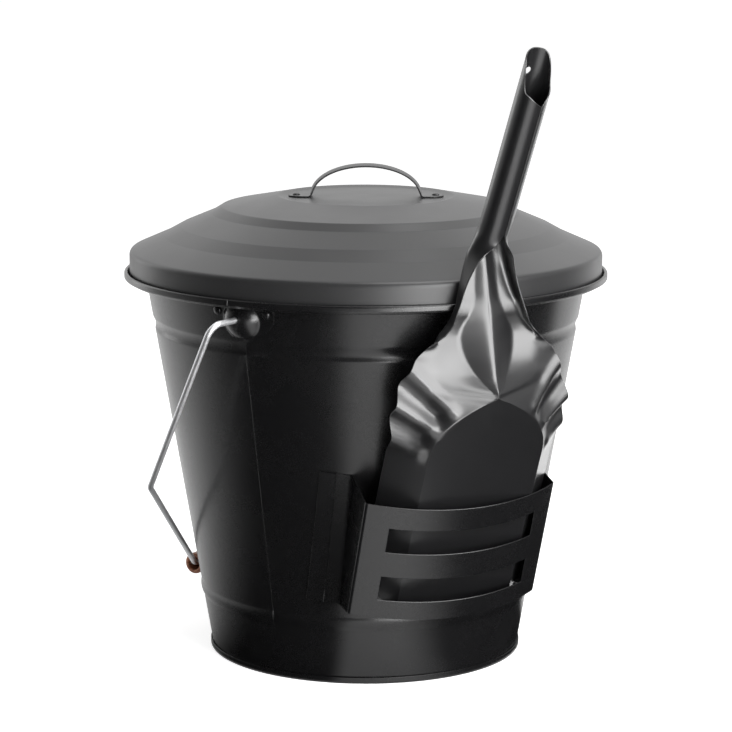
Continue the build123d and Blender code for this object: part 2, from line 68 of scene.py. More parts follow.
def smooth(low: float, high: float, value: Grid) -> Grid:
    """Rises from 0 at low to 1 at high along 3t^2 - 2t^3."""
    share = np.clip((np.asarray(value, float) - low) / (high - low), 0.0, 1.0)
    return share * share * (3.0 - 2.0 * share)


def spread(*parts: Any) -> Grid:
    """The parts, each spread over the shape of them all, side by side on a new last axis."""
    return np.stack(np.broadcast_arrays(*parts), axis=-1)


def around(radius: Grid, angle: Grid, height: Grid) -> Grid:
    """Points about Z: (r cos a, r sin a, z)."""
    return spread(radius * np.cos(angle), radius * np.sin(angle), height)


def unit(vectors: Grid) -> Grid:
    """The vectors, each divided by its own length."""
    return vectors / np.maximum(np.linalg.norm(vectors, axis=-1, keepdims=True), 1e-12)


def faired(places: Sequence[float], heights: Grid, at: Grid) -> Grid:
    """Reads a table along a smooth line.

    Between two places the line is a cubic whose slope at each place is the harmonic mean of the
    slopes on either side, or level where they have opposite signs, so it never overshoots.

    Args:
        places: rising places of the table.
        heights: table values, one row for each place.
        at: places to read.

    Returns:
        One row of values for each place in at.
    """
    step = np.diff(places)[:, None]
    slope = np.diff(heights, axis=0) / step
    same = slope[:-1] * slope[1:] > 0
    safe = np.where(same, slope[:-1] + slope[1:], 1.0)
    middle = np.where(same, 2 * slope[:-1] * slope[1:] / safe, 0.0)
    tangent = np.concatenate([slope[:1], middle, slope[-1:]])
    spot = np.clip(at, places[0], places[-1])
    cell = np.clip(np.searchsorted(places, spot, side="right") - 1, 0, len(places) - 2)
    t = ((spot - places[cell]) / (places[cell + 1] - places[cell]))[:, None]
    length = step[cell]
    result = (2 * t**3 - 3 * t**2 + 1) * heights[cell] + (t**3 - 2 * t**2 + t) * length * tangent[cell]
    return result + (3 * t**2 - 2 * t**3) * heights[cell + 1] + (t**3 - t**2) * length * tangent[cell + 1]


def rounded(corners: Grid, radii: Sequence[float], steps: int = 6, ease: float = 0.7) -> Grid:
    """Replaces each inner corner of a line by an arc that touches both of its legs.

    The arc starts where the legs are radius / tan(half the corner's angle) from the corner, and its
    points turn evenly about the circle's centre. One more point stands on each leg just before the
    arc, so that the flats beside it stay flat when shaded.

    Args:
        corners: points, with the corner count and the axes as the last two dimensions.
        radii: one radius for each inner corner.
        steps: how many parts an arc has.
        ease: how far from the arc the extra points stand.

    Returns:
        The rounded line, with the same leading dimensions.
    """
    longest_leg, longest_lead = 0.46, 0.49
    parts = [corners[..., :1, :]]
    for index, radius in enumerate(radii, start=1):
        point = corners[..., index, :]
        before = corners[..., index - 1, :] - point
        after = corners[..., index + 1, :] - point
        reach_before = np.linalg.norm(before, axis=-1, keepdims=True)
        reach_after = np.linalg.norm(after, axis=-1, keepdims=True)
        before = before / reach_before
        after = after / reach_after
        cosine = np.clip(np.sum(before * after, axis=-1, keepdims=True), -0.99999, 0.99999)
        half = np.arccos(cosine) / 2
        leg = np.minimum(radius / np.tan(half), longest_leg * np.minimum(reach_before, reach_after))
        centre = point + unit(before + after) * leg / np.cos(half)
        start = point + before * leg - centre
        end = point + after * leg - centre
        turn = np.pi - 2 * half
        arc = [
            centre + (np.sin((1 - t) * turn) * start + np.sin(t * turn) * end) / np.sin(turn)
            for t in np.linspace(0, 1, steps + 1)
        ]
        lead = point + before * np.minimum(leg + ease, longest_lead * reach_before)
        trail = point + after * np.minimum(leg + ease, longest_lead * reach_after)
        parts.append(np.stack([lead] + arc + [trail], axis=-2))
    return np.concatenate(parts + [corners[..., -1:, :]], axis=-2)


def beside(line: Grid, distance: float) -> Grid:
    """The same flat line moved to the left of travel along the mean of its two edge normals."""
    step = unit(np.diff(line, axis=0))
    side = np.stack([-step[:, 1], step[:, 0]], axis=1)
    first = np.concatenate([side[:1], side])
    second = np.concatenate([side, side[-1:]])
    least_scale = 0.2
    scale = 1 + np.sum(first * second, axis=1, keepdims=True)
    return line + distance * (first + second) / np.maximum(scale, least_scale)


def sheet_loop(line: Grid, thickness: float) -> Grid:
    """Closed outline of a sheet: a line, and the same line one thickness to its left."""
    return np.concatenate([line, beside(line, thickness)[::-1]])


@dataclass
class Skin:
    """A surface: points, four-sided faces and three-sided faces, with one lay vector a point."""

    points: Grid
    fours: Grid
    threes: Grid = field(default_factory=lambda: np.zeros((0, 3), int))
    lay: Optional[Grid] = None

    def run(self) -> Grid:
        """The lay vectors, or zeros where none are given."""
        return np.zeros_like(self.points) if self.lay is None else self.lay

    def welded(self, reach: float = 1e-3) -> "Skin":
        """Joins points that fall in one cell of a fine grid, and drops faces without area."""
        # Round sizes would fall on the grid's own lines, so it is shifted by part of a cell.
        cell_shift = 0.37
        cells = np.floor(self.points / reach + cell_shift).astype(np.int64)
        _, first, place = np.unique(cells, axis=0, return_index=True, return_inverse=True)
        place = place.reshape(-1)
        fours = place[self.fours]
        threes = place[self.threes]
        same = fours == np.roll(fours, -1, axis=1)
        count = same.sum(axis=1)
        order = (np.argmax(same, axis=1)[:, None] + np.array([1, 2, 3])) % 4
        cut = np.take_along_axis(fours, order, axis=1)[count == 1]
        fours = fours[count == 0]
        fours = fours[(fours[:, 0] != fours[:, 2]) & (fours[:, 1] != fours[:, 3])]
        threes = np.concatenate([threes, cut])
        threes = threes[np.all(threes != np.roll(threes, -1, axis=1), axis=1)]
        return Skin(self.points[first], fours, threes, self.run()[first])

    def normals(self) -> Grid:
        """Unit normal at each point: the sum of the normals of its faces, weighted by their area."""
        p = self.points
        total = np.zeros_like(p)
        for face, ends in ((self.fours, (0, 2, 1, 3)), (self.threes, (0, 1, 0, 2))):
            a, b, c, d = (p[face[:, k]] for k in ends)
            cross = np.cross(b - a, d - c)
            for corner in range(face.shape[1]):
                np.add.at(total, face[:, corner], cross)
        return unit(total)

    def rim(self) -> Grid:
        """Directed edges that belong to one face only."""
        faces = (self.fours, self.threes)
        pairs = np.concatenate([np.stack([f, np.roll(f, -1, axis=1)], axis=-1).reshape(-1, 2) for f in faces])
        _, place, count = np.unique(np.sort(pairs, axis=1), axis=0, return_inverse=True, return_counts=True)
        return pairs[count[place.reshape(-1)] == 1]

    def thick(self, front: float, back: float, ease: float = 0.0) -> "Skin":
        """A closed sheet between this surface moved along its normals by front and by back.

        With an ease, both of the sheet's edges are cut off at 45 degrees all round: the faces end
        that far inside the rim, and the rim's wall starts that far below each face.

        Args:
            front: how far out the front face lies.
            back: how far out the back face lies.
            ease: width of the cut-off corners.

        Returns:
            The closed sheet.
        """
        skin = self.welded()
        side = skin.normals()
        count = len(skin.points)
        edge = skin.rim()
        ends = edge[:, 0], edge[:, 1]
        off = unit(np.cross(skin.points[ends[1]] - skin.points[ends[0]], side[ends[0]] + side[ends[1]]))
        away = np.zeros_like(skin.points)
        for end in ends:
            np.add.at(away, end, off)
        # A very sharp corner's point would otherwise run far inside the rim.
        least_length = 1.6
        away = 2 * away / np.maximum(np.sum(away**2, axis=1, keepdims=True), least_length)
        rim, place = np.unique(edge, return_inverse=True)
        place = place.reshape(edge.shape)
        inner = skin.points - away * ease
        outer = skin.points[rim]
        walls = (outer + side[rim] * (front - ease), outer + side[rim] * (back + ease))
        points = np.concatenate([inner + side * front, inner + side * back, *walls])
        rings = [edge, place + 2 * count, place + 2 * count + len(rim), edge + count]
        strips = [np.stack([a[:, 1], a[:, 0], b[:, 0], b[:, 1]], axis=1) for a, b in zip(rings, rings[1:])]
        fours = np.concatenate([skin.fours, skin.fours[:, ::-1] + count] + strips)
        threes = np.concatenate([skin.threes, skin.threes[:, ::-1] + count])
        run = skin.run()
        closed = Skin(points, fours, threes, np.concatenate([run, run, run[rim], run[rim]]))
        return (closed if ease else closed.welded()).outward()

    def outward(self) -> "Skin":
        """The same closed surface with its faces outward, told by the sign of its volume."""
        p = self.points - self.points.mean(axis=0)
        fan = np.concatenate([self.fours[:, :3], self.fours[:, [0, 2, 3]], self.threes])
        if np.sum(p[fan[:, 0]] * np.cross(p[fan[:, 1]], p[fan[:, 2]])) < 0:
            return Skin(self.points, self.fours[:, ::-1], self.threes[:, ::-1], self.lay)
        return self

    def placed(self, frame: "Bearing") -> "Skin":
        """The skin carried from a bearing's own axes to the bucket's."""
        return Skin(frame.world(self.points), self.fours, self.threes, self.lay)

    def moved(self, signs: Triple, shift: Triple = (0, 0, 0)) -> "Skin":
        """The skin turned half round, as the axes' signs say, and then shifted."""
        return Skin(self.points * signs + shift, self.fours, self.threes, self.lay)

    @staticmethod
    def joined(skins: Sequence["Skin"]) -> "Skin":
        """Several skins as one, side by side."""
        starts = np.cumsum([0] + [len(skin.points) for skin in skins[:-1]])
        return Skin(
            np.concatenate([skin.points for skin in skins]),
            np.concatenate([skin.fours + start for skin, start in zip(skins, starts)]),
            np.concatenate([skin.threes + start for skin, start in zip(skins, starts)]),
            np.concatenate([skin.run() for skin in skins]),
        )


@dataclass(frozen=True)
class Bearing:
    """A place and three directions of a piece's own axes."""

    origin: Sequence[float]
    across: Sequence[float]
    along: Sequence[float]
    out: Sequence[float]

    def world(self, points: Grid) -> Grid:
        """Points given along the three directions, in the bucket's frame."""
        return np.asarray(self.origin) + points @ np.array([self.across, self.along, self.out])


def leaning(turn: float, lean: float, radius: float, height: float) -> Bearing:
    """Axes on a face beside the bucket.

    At a turn t about Z and a lean l the axes run across, (cos t, sin t, 0), along the face,
    (sin l sin t, -sin l cos t, cos l), and out of it, (cos l sin t, -cos l cos t, -sin l).

    Args:
        turn: bearing of the face from the bucket's front, in degrees.
        lean: how far its top leans outward, in degrees.
        radius: how far its origin is from the bucket's axis.
        height: its origin's height.

    Returns:
        The axes.
    """
    turn, lean = np.radians((turn, lean))
    across = np.array([np.cos(turn), np.sin(turn), 0.0])
    level = np.array([np.sin(turn), -np.cos(turn), 0.0])
    up = np.array([0.0, 0.0, 1.0])
    along = np.sin(lean) * level + np.cos(lean) * up
    return Bearing(level * radius + up * height, across, along, np.cos(lean) * level - np.sin(lean) * up)


def lattice(
    points: Grid,
    wrap_rows: bool = False,
    wrap_columns: bool = False,
    keep: Optional[Grid] = None,
    lay: Optional[Grid] = None,
) -> Skin:
    """Faces over a grid of points.

    Each face joins points (r, c), (r, c + 1), (r + 1, c + 1) and (r + 1, c), and a wrapped side
    runs back to its start.

    Args:
        points: the grid, with rows, columns and the three axes.
        wrap_rows: whether the last row meets the first.
        wrap_columns: whether the last column meets the first.
        keep: which cells get a face.
        lay: one vector a point, carried to the mesh.

    Returns:
        The surface.
    """
    rows, columns = points.shape[:2]
    row_starts = np.arange(rows if wrap_rows else rows - 1)
    column_starts = np.arange(columns if wrap_columns else columns - 1)
    r, c = np.meshgrid(row_starts, column_starts, indexing="ij")
    down = (r + 1) % rows
    right = (c + 1) % columns
    fours = np.stack([r * columns + c, r * columns + right, down * columns + right, down * columns + c], -1)
    fours = fours[keep] if keep is not None else fours
    flat_lay = None if lay is None else lay.reshape(-1, 3)
    return Skin(points.reshape(-1, 3), fours.reshape(-1, 4), lay=flat_lay)


def turned(loop: Grid, steps: int) -> Skin:
    """A closed outline of (radius, height) points turned about Z: x = r sin a, y = -r cos a."""
    angle = np.linspace(0, 2 * np.pi, steps, endpoint=False)[None, :]
    radius, height = loop[:, :1], loop[:, 1:]
    points = spread(radius * np.sin(angle), -radius * np.cos(angle), height)
    return lattice(points, True, True, lay=spread(radius * angle, height, 0.0)).welded().outward()


def dome_head(radius: float, rise: float, tail: float, foot: float = 0.35) -> Grid:
    """Outline of a rivet: flat underside, short rounded foot, then an ellipse up to the crown."""
    angle = np.linspace(0, np.pi / 2, 10)
    arch = np.stack([radius * np.cos(angle), foot + (rise - foot) * np.sin(angle)], axis=1)
    base = np.array([[0.0, -tail], [radius * 0.86, -tail], [radius * 0.97, -tail + 0.12], [radius, 0.0]])
    return np.concatenate([base, arch, [[0.0, rise]]])


# Shading


class Reading:
    """A number that varies over a surface, with arithmetic that adds Math nodes."""

    def __init__(self, bench: "Bench", socket: bpy.types.NodeSocket) -> None:
        self.bench = bench
        self.socket = socket

    def _math(self, operation: str, *terms: Any) -> "Reading":
        """One Math node over the terms."""
        made = self.bench.node("ShaderNodeMath", {"operation": operation}, terms)
        return Reading(self.bench, made.outputs[0])

    def __add__(self, other: Any) -> "Reading":
        """This plus another."""
        return self._math("ADD", self, other)

    __radd__ = __add__

    def __sub__(self, other: Any) -> "Reading":
        """This less another."""
        return self._math("SUBTRACT", self, other)

    def __rsub__(self, other: Any) -> "Reading":
        """Another less this."""
        return self._math("SUBTRACT", other, self)

    def __mul__(self, other: Any) -> "Reading":
        """This times another."""
        return self._math("MULTIPLY", self, other)

    __rmul__ = __mul__

    def larger(self, other: Any) -> "Reading":
        """The larger of this and another."""
        return self._math("MAXIMUM", self, other)

    def between(self, low: float, high: float) -> "Reading":
        """Rises smoothly from 0 at low to 1 at high."""
        settings = {"interpolation_type": "SMOOTHSTEP"}
        ends = {"Value": self, "From Min": low, "From Max": high}
        return Reading(self.bench, self.bench.node("ShaderNodeMapRange", settings, ends).outputs[0])


class Bench:
    """The nodes of one material or world, with its shader and output already in place."""

    def __init__(
        self, owner: bpy.types.ID, shader: str = "BsdfPrincipled", output: str = "OutputMaterial"
    ) -> None:
        self.owner = owner
        owner.use_nodes = True
        self.tree = owner.node_tree
        self.tree.nodes.clear()
        self.shader = self.node("ShaderNode" + shader)
        self.node("ShaderNode" + output, {}, {"Surface": self.shader.outputs[0]})

    def node(
        self, kind: str, settings: Optional[Dict[str, Any]] = None, inputs: Any = None
    ) -> bpy.types.Node:
        """Adds a node.

        Args:
            kind: the node's type.
            settings: its properties; "stops" are a ramp's places and colours.
            inputs: values or links, by socket name, by number or in order.

        Returns:
            The node.
        """
        made = self.tree.nodes.new(kind)
        for name, value in (settings or {}).items():
            if name != "stops":
                setattr(made, name, value)
                continue
            while len(made.color_ramp.elements) < len(value):
                made.color_ramp.elements.new(0.5)
            for element, (place, colour) in zip(made.color_ramp.elements, value):
                element.position = place
                element.color = (*colour, 1.0)
        pairs = inputs.items() if isinstance(inputs, dict) else enumerate(inputs or ())
        for name, value in pairs:
            self.feed(made.inputs[name], value)
        return made

    def feed(self, socket: bpy.types.NodeSocket, value: Any) -> None:
        """Links a socket to a reading or another socket, or sets its value."""
        if isinstance(value, Reading):
            value = value.socket
        if isinstance(value, bpy.types.NodeSocket):
            self.tree.links.new(value, socket)
        else:
            socket.default_value = (*value, 1.0) if socket.type == "RGBA" else value

    def place(self, stretch: Triple = (1, 1, 1)) -> bpy.types.NodeSocket:
        """The piece's own coordinates in metres, stretched along its axes."""
        own = self.node("ShaderNodeTexCoord").outputs["Object"]
        scale = {"Vector": own, "Scale": stretch}
        return self.node("ShaderNodeMapping", {"vector_type": "TEXTURE"}, scale).outputs[0]

    def lay(self) -> bpy.types.NodeSocket:
        """The vector that each mesh point carries: how far it lies along and across its sheet."""
        return self.node("ShaderNodeAttribute", {"attribute_name": "lay"}).outputs["Vector"]

    def rays(self) -> Tuple[Reading, Reading]:
        """Whether the surface is seen by the camera, and whether it is seen in a reflection."""
        path = self.node("ShaderNodeLightPath").outputs
        return Reading(self, path["Is Camera Ray"]), Reading(self, path["Is Glossy Ray"])

    def noise(
        self, at: bpy.types.NodeSocket, scale: float, detail: float = 2.0, rough: float = 0.5
    ) -> Reading:
        """Even noise from 0 to 1."""
        inputs = {"Vector": at, "Scale": scale, "Detail": detail, "Roughness": rough}
        return Reading(self, self.node("ShaderNodeTexNoise", {}, inputs).outputs[0])

    def tinted(self, mask: Reading, dark: Any, light: Any) -> bpy.types.NodeSocket:
        """A colour from dark at 0 to light at 1; each is a colour, or a socket that gives one."""
        ends = {"Factor": mask, 6: dark, 7: light}
        return self.node("ShaderNodeMix", {"data_type": "RGBA"}, ends).outputs[2]

    def bump(self, height: Reading, distance: float) -> bpy.types.NodeSocket:
        """A normal that rises with a height by up to the distance in metres."""
        inputs = {"Height": height, "Distance": distance, "Strength": 1.0}
        return self.node("ShaderNodeBump", {}, inputs).outputs[0]

    def finish(self, **sockets: Any) -> bpy.types.ID:
        """Feeds the shader's sockets, named with underscores for spaces, and gives the material."""
        for name, value in sockets.items():
            self.feed(self.shader.inputs[name.replace("_", " ")], value)
        return self.owner


@dataclass(frozen=True)
class Enamel:
    """Baked powder enamel on steel: fine orange peel, soft mottling and a few dust specks."""

    name: str
    tone: Triple
    light: Triple
    roughness: float
    spread: float
    peel: float
    peel_size: float
    sheen: float
    dust: float = 0.0
    coat: float = 0.0
    coat_roughness: float = 0.26
    dust_tone: Triple = (0.20, 0.19, 0.185)

    def material(self) -> bpy.types.Material:
        """Builds the material."""
        bench = Bench(bpy.data.materials.new(self.name))
        at = bench.place()
        cloud = bench.noise(at, 26.0, 3.0, 0.55)
        fine = bench.noise(at, 1.0 / (self.peel_size * MM))
        grit = bench.noise(at, 2.4 / (self.peel_size * MM), 1.0)
        tint = bench.tinted(cloud * 0.7 + grit * 0.3, self.tone, self.light)
        if self.dust:
            speck = bench.noise(at, 900.0, 1.0, 0.4).between(0.70, 0.80)
            tint = bench.tinted(speck * self.dust, tint, self.dust_tone)
        return bench.finish(
            Base_Color=tint,
            Roughness=(cloud - 0.5) * self.spread + (grit - 0.5) * (self.spread * 0.5) + self.roughness,
            Normal=bench.bump(fine * 0.8 + grit * 0.2, self.peel * MM),
            Specular_IOR_Level=self.sheen,
            IOR=1.5,
            Coat_Weight=self.coat,
            Coat_Roughness=self.coat_roughness,
        )


@dataclass(frozen=True)
class DrawnZinc:
    """Bright zinc on drawn wire: streaks along the wire, cloudy patches and small pits."""

    name: str = "drawn_zinc"
    dark: Triple = (0.80, 0.81, 0.83)
    light: Triple = (0.95, 0.95, 0.96)
    relief: float = 0.06
    streak_share: float = 0.04

    def material(self) -> bpy.types.Material:
        """Builds the material; its streaks follow the lay that runs along the wire."""
        bench = Bench(bpy.data.materials.new(self.name))
        at = bench.place()
        drawn_out = {"Vector": bench.lay(), "Scale": (self.streak_share, 1.0, 1.0)}
        along = bench.node("ShaderNodeMapping", {}, drawn_out).outputs[0]
        streak = bench.noise(along, 2.6, 2.0, 0.6)
        cloud = bench.noise(at, 120.0, 3.0, 0.6)
        pits = bench.noise(at, 1400.0, 1.0)
        return bench.finish(
            Base_Color=bench.tinted(cloud * 0.6 + streak * 0.4, self.dark, self.light),
            Roughness=streak * 0.16 + cloud * 0.12 + 0.36,
            Metallic=1.0,
            Normal=bench.bump(streak * 0.7 + pits * 0.3, self.relief * MM),
        )


@dataclass(frozen=True)
class StainedWood:
    """Turned hardwood under a red-brown stain: long grain, dark pores and a thin coat of lacquer."""

    name: str = "stained_wood"
    stops: Tuple[Tuple[float, Triple], ...] = (
        (0.0, (0.130, 0.042, 0.024)),
        (0.38, (0.300, 0.105, 0.054)),
        (0.66, (0.430, 0.180, 0.096)),
        (1.0, (0.560, 0.270, 0.155)),
    )
    pore_tone: Triple = (0.055, 0.018, 0.010)
    relief: float = 0.10

    def material(self) -> bpy.types.Material:
        """Builds the material; the grain runs along X, the grip's own length."""
        bench = Bench(bpy.data.materials.new(self.name))
        grain_at = bench.place((14.0, 1.0, 1.0))
        pores = bench.noise(bench.place((9.0, 1.0, 1.0)), 1500.0, 1.0).between(0.60, 0.72)
        figure = bench.noise(grain_at, 420.0, 4.0, 0.6) * 0.6 + bench.noise(grain_at, 130.0) * 0.4
        base = bench.node("ShaderNodeValToRGB", {"stops": self.stops}, {"Fac": figure.between(0.30, 0.70)})
        return bench.finish(
            Base_Color=bench.tinted(pores * 0.65, base.outputs[0], self.pore_tone),
            Roughness=pores * 0.2 + figure * 0.16 + 0.34,
            Normal=bench.bump(figure * 0.5 + (1.0 - pores) * 0.5, self.relief * MM),
            Coat_Weight=0.15,
        )


class Coat(Enum):
    """The finishes on the bucket, named for where they go."""

    BODY = "body_enamel"
    LID = "lid_enamel"
    SHOVEL = "shovel_enamel"
    WIRE = "zinc_wire"
    WOOD = "stained_wood"


def mixed_coats() -> Dict[Coat, bpy.types.Material]:
    """Makes every finish once."""
    finishes = {
        Coat.BODY: Enamel(
            name=Coat.BODY.value,
            tone=(0.0036, 0.0036, 0.0039),
            light=(0.0066, 0.0065, 0.0069),
            roughness=0.27,
            spread=0.08,
            peel=0.010,
            peel_size=1.5,
            sheen=0.5,
        ),
        Coat.LID: Enamel(
            name=Coat.LID.value,
            # Painted top light: the lid's tone and its lighter mottle are set well above the body's black
            # enamel so that the lid reads dark grey, the way light from above makes it look.
            tone=(0.0165, 0.0165, 0.0170),
            light=(0.0230, 0.0230, 0.0235),
            roughness=0.36,
            spread=0.08,
            peel=0.012,
            peel_size=1.1,
            sheen=0.40,
            dust=0.05,
        ),
        Coat.SHOVEL: Enamel(
            name=Coat.SHOVEL.value,
            tone=(0.0048, 0.0048, 0.0053),
            light=(0.0080, 0.0078, 0.0084),
            roughness=0.38,
            spread=0.06,
            peel=0.006,
            peel_size=2.2,
            sheen=0.36,
            coat=1.0,
        ),
        Coat.WIRE: DrawnZinc(),
        Coat.WOOD: StainedWood(),
    }
    return {coat: finish.material() for coat, finish in finishes.items()}


def arranged(thing: Any, **settings: Any) -> Any:
    """Sets several properties of a thing, and gives it back."""
    for name, value in settings.items():
        setattr(thing, name, value)
    return thing


def set_up(name: str, data: bpy.types.ID) -> bpy.types.Object:
    """Puts a mesh, lamp or camera into the scene."""
    made = bpy.data.objects.new(name, data)
    bpy.context.scene.collection.objects.link(made)
    return made


def set_out(name: str, skin: Skin, scale: float = 1.0) -> bpy.types.Object:
    """Puts a skin and its lay vectors into the scene as a mesh, its points times the scale."""
    fours, threes = skin.fours, skin.threes
    mesh = bpy.data.meshes.new(name)
    mesh.vertices.add(len(skin.points))
    mesh.vertices.foreach_set("co", (skin.points * scale).ravel())
    mesh.loops.add(fours.size + threes.size)
    mesh.loops.foreach_set("vertex_index", np.concatenate([fours.ravel(), threes.ravel()]).astype(np.int32))
    mesh.polygons.add(len(fours) + len(threes))
    starts = np.concatenate([np.arange(len(fours)) * 4, fours.size + np.arange(len(threes)) * 3])
    mesh.polygons.foreach_set("loop_start", starts.astype(np.int32))
    mesh.update(calc_edges=True)
    mesh.validate()
    lay = mesh.attributes.new("lay", "FLOAT_VECTOR", "POINT")
    lay.data.foreach_set("vector", skin.run().astype(np.float32).ravel())
    return set_up(name, mesh)


@dataclass
class Workshop:
    """The finishes, each mixed once, and the way in which a piece is made and hung on its body."""

    coats: Dict[Coat, bpy.types.Material] = field(default_factory=mixed_coats)
    smooth_below: float = 38.0
    eased_above: float = 42.0

    def piece(
        self, name: str, skin: Skin, coat: Coat, node: str, body: str, edge: float = 0.0
    ) -> bpy.types.Object:
        """Puts a closed skin into the scene as one piece.

        Args:
            name: the piece's name.
            skin: its surface in millimetres.
            coat: its finish.
            node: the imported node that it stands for.
            body: the body that it rides on.
            edge: width of the small rounding on its sharp edges, or 0.

        Returns:
            The piece.
        """
        piece = set_out(name, skin, MM)
        mesh = piece.data
        mesh.shade_smooth()
        mesh.set_sharp_from_angle(angle=np.radians(self.smooth_below))
        mesh.materials.append(self.coats[coat])
        if edge:
            arranged(
                piece.modifiers.new("eased_edges", "BEVEL"),
                width=edge * MM,
                segments=2,
                limit_method="ANGLE",
                angle_limit=np.radians(self.eased_above),
                harden_normals=True,
                miter_outer="MITER_ARC",
            )
        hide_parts(node)
        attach(piece, body)
        log.info("%s: %d points, for %s on %s", name, len(skin.points), node, body)
        return piece


# The bucket's body


@dataclass
class Shell:
    """The body's two half shells, with their beads, lid seat, rolled rim and overlapped seams."""

    rim_radius: float = 184.0
    seat_height: float = 287.2
    rim_rise: float = 6.5
    curl: float = 1.5
    curl_height: float = 4.8
    seat_width: float = 16.9
    seat_bend: float = 1.2
    foot_radius: float = 118.0
    sheet: float = 0.6
    foot_height: float = 0.7
    wall_top: float = 284.5
    upper_bead: float = 255.0
    upper_depth: float = 1.25
    lower_bead: float = 47.5
    lower_proud: float = 1.2
    bead_half: float = 5.5
    bead_start: Tuple[float, float] = (0.8, 8.0)
    bead_rows: int = 15
    bead_reach: float = 1.15
    foot_rows: Tuple[float, ...] = (5.5, 20.0, 34.0)
    neck_rows: Tuple[float, ...] = (272.0, 283.5)
    lap: float = 12.0
    lap_proud: float = 0.22
    lap_gap: float = 0.03
    seam_gap: float = 0.1
    rim_bends: Tuple[float, ...] = (1.3, 1.0, 1.19, 1.19, 0.9)
    lift_fade: Tuple[float, float] = (1.0, 15.0)
    lift_start: Tuple[float, float] = (2.0, 10.0)
    lift_end: Tuple[float, float] = (268.0, 283.0)
    # Where a lap's rows start and end, and how many there are.
    lap_rows: Table = ((8, 40, 4), (42, 53, 9), (70, 245, 6), (250, 260, 9), (281, 281, 1))
    lap_columns: Tuple[float, ...] = (-9.0, -6.0, -3.5, -1.6, -0.6, 0.2, 3.0, 7.0)
    lap_inset: Tuple[float, float] = (-6.0, -0.4)
    lap_bead_fade: Tuple[float, float] = (-2.0, 6.0)
    lap_clear: float = 0.02
    # Angles of the columns closest to a seam, and where the evenly spaced ones start.
    seam_columns: Tuple[float, ...] = (0.0, 0.004, 0.009, 0.016)
    columns_start: float = 0.026
    columns: int = 95
    edge: float = 0.2

    @property
    def slope(self) -> float:
        """How much the wall's radius grows for each millimetre of height."""
        return (self.rim_radius - self.seat_width - self.foot_radius) / (self.seat_height - self.seat_bend)

    @property
    def lean(self) -> float:
        """How far the wall leans outward, in degrees."""
        return float(np.degrees(np.arctan(self.slope)))

    def wall(self, height: Grid) -> Grid:
        """Outer radius of the plain wall."""
        return self.foot_radius + self.slope * np.asarray(height, float)

    def bead(self, height: Grid, middle: float) -> Grid:
        """Rounded bump from 0 at the bead's edges to 1 at its middle: (1 - d^2)^1.3."""
        return np.clip(1 - ((height - middle) / self.bead_half) ** 2, 0, 1) ** 1.3

    def upright(self) -> Grid:
        """Heights of the wall's rows: close together over the beads, wide apart elsewhere."""
        over = np.linspace(-self.bead_reach, self.bead_reach, self.bead_rows) * self.bead_half
        low = self.lower_bead + over
        high = self.upper_bead + over
        between = np.linspace(low[-1] + 8, high[0] - 8, 14)
        foot = [self.foot_height, *self.foot_rows]
        return np.concatenate([foot, low, between, high, self.neck_rows])

    def rim_line(self) -> Grid:
        """Middle of the sheet from the wall's top over the lid's seat and round the rolled rim."""
        half = self.sheet / 2
        seat = self.seat_height + half
        leg = self.rim_radius - 2 * self.curl + half
        cheek = self.rim_radius - half
        crown = self.seat_height + self.rim_rise - half
        curl_foot = self.seat_height + self.rim_rise - self.curl_height
        corners = [(float(self.wall(height)) - half, height) for height in (self.wall_top, seat)]
        corners += [(leg, seat), (leg, crown), (cheek, crown), (cheek, curl_foot)]
        corners += [(cheek - self.curl, curl_foot + 0.1)]
        return rounded(np.array(corners), self.rim_bends, steps=6, ease=0.5)

    def half_shell(self, front: bool) -> Skin:
        """One half of the body.

        A row's radius is the wall's, plus each bead's bump times its depth, plus a small lift near
        the front half's edges where it lies over the rear one. The front's beads start softly
        beside the seams, and the rear's run on to them.
        """
        gap = self.seam_gap / self.rim_radius
        even = np.linspace(self.columns_start, np.pi / 2, self.columns)
        edge = np.concatenate([self.seam_columns, even])
        turn = np.concatenate([edge, np.pi - edge[-2::-1]])
        turn = gap + turn * (np.pi - 2 * gap) / np.pi
        rows = self.upright()
        line = np.concatenate([np.stack([self.wall(rows) - self.sheet / 2, rows], axis=1), self.rim_line()])
        radius, height = line[:, :1], line[:, 1:]
        arc = np.minimum(turn, np.pi - turn) * radius
        full = (np.arange(len(line)) < len(rows))[:, None] * (smooth(*self.bead_start, arc) if front else 1.0)
        radius = radius + full * self.bead(height, self.lower_bead) * self.lower_proud
        radius = radius - full * self.bead(height, self.upper_bead) * self.upper_depth
        if front:
            lift = smooth(*self.lift_start, height) * (1 - smooth(*self.lift_end, height))
            radius = radius + self.lap_proud * lift * (1 - smooth(*self.lift_fade, arc))
        angle = turn + (np.pi if front else 0.0)
        skin = lattice(around(radius, angle, height), lay=spread(radius * angle, height, 0.0))
        return skin.thick(self.sheet / 2, -self.sheet / 2, self.edge)

    def laps(self) -> Skin:
        """The rear half's two edges, set in by a sheet where they pass behind the front half."""
        height = np.concatenate([np.linspace(*span) for span in self.lap_rows])[:, None]
        arc = np.array([*self.lap_columns, self.lap])
        inset = self.sheet / 2 + self.lap_clear + (self.sheet + self.lap_gap) * smooth(*self.lap_inset, arc)
        fade = 1 - smooth(*self.lap_bead_fade, arc)
        radius = self.wall(height) - inset + self.bead(height, self.lower_bead) * self.lower_proud * fade
        radius = radius - self.bead(height, self.upper_bead) * self.upper_depth
        half = self.sheet / 2 - 2 * self.lap_clear
        skins = []
        for start, side in ((0.0, -1), (np.pi, 1)):
            skins.append(lattice(around(radius, start + side * arc / radius, height)).thick(half, -half))
        return Skin.joined(skins)

    def build(self, shop: Workshop) -> None:
        """Makes both halves."""
        shop.piece("front_half", self.half_shell(True), Coat.BODY, "body_front", "bucket")
        rear = Skin.joined([self.half_shell(False), self.laps()])
        shop.piece("rear_half", rear, Coat.BODY, "body_rear", "bucket")


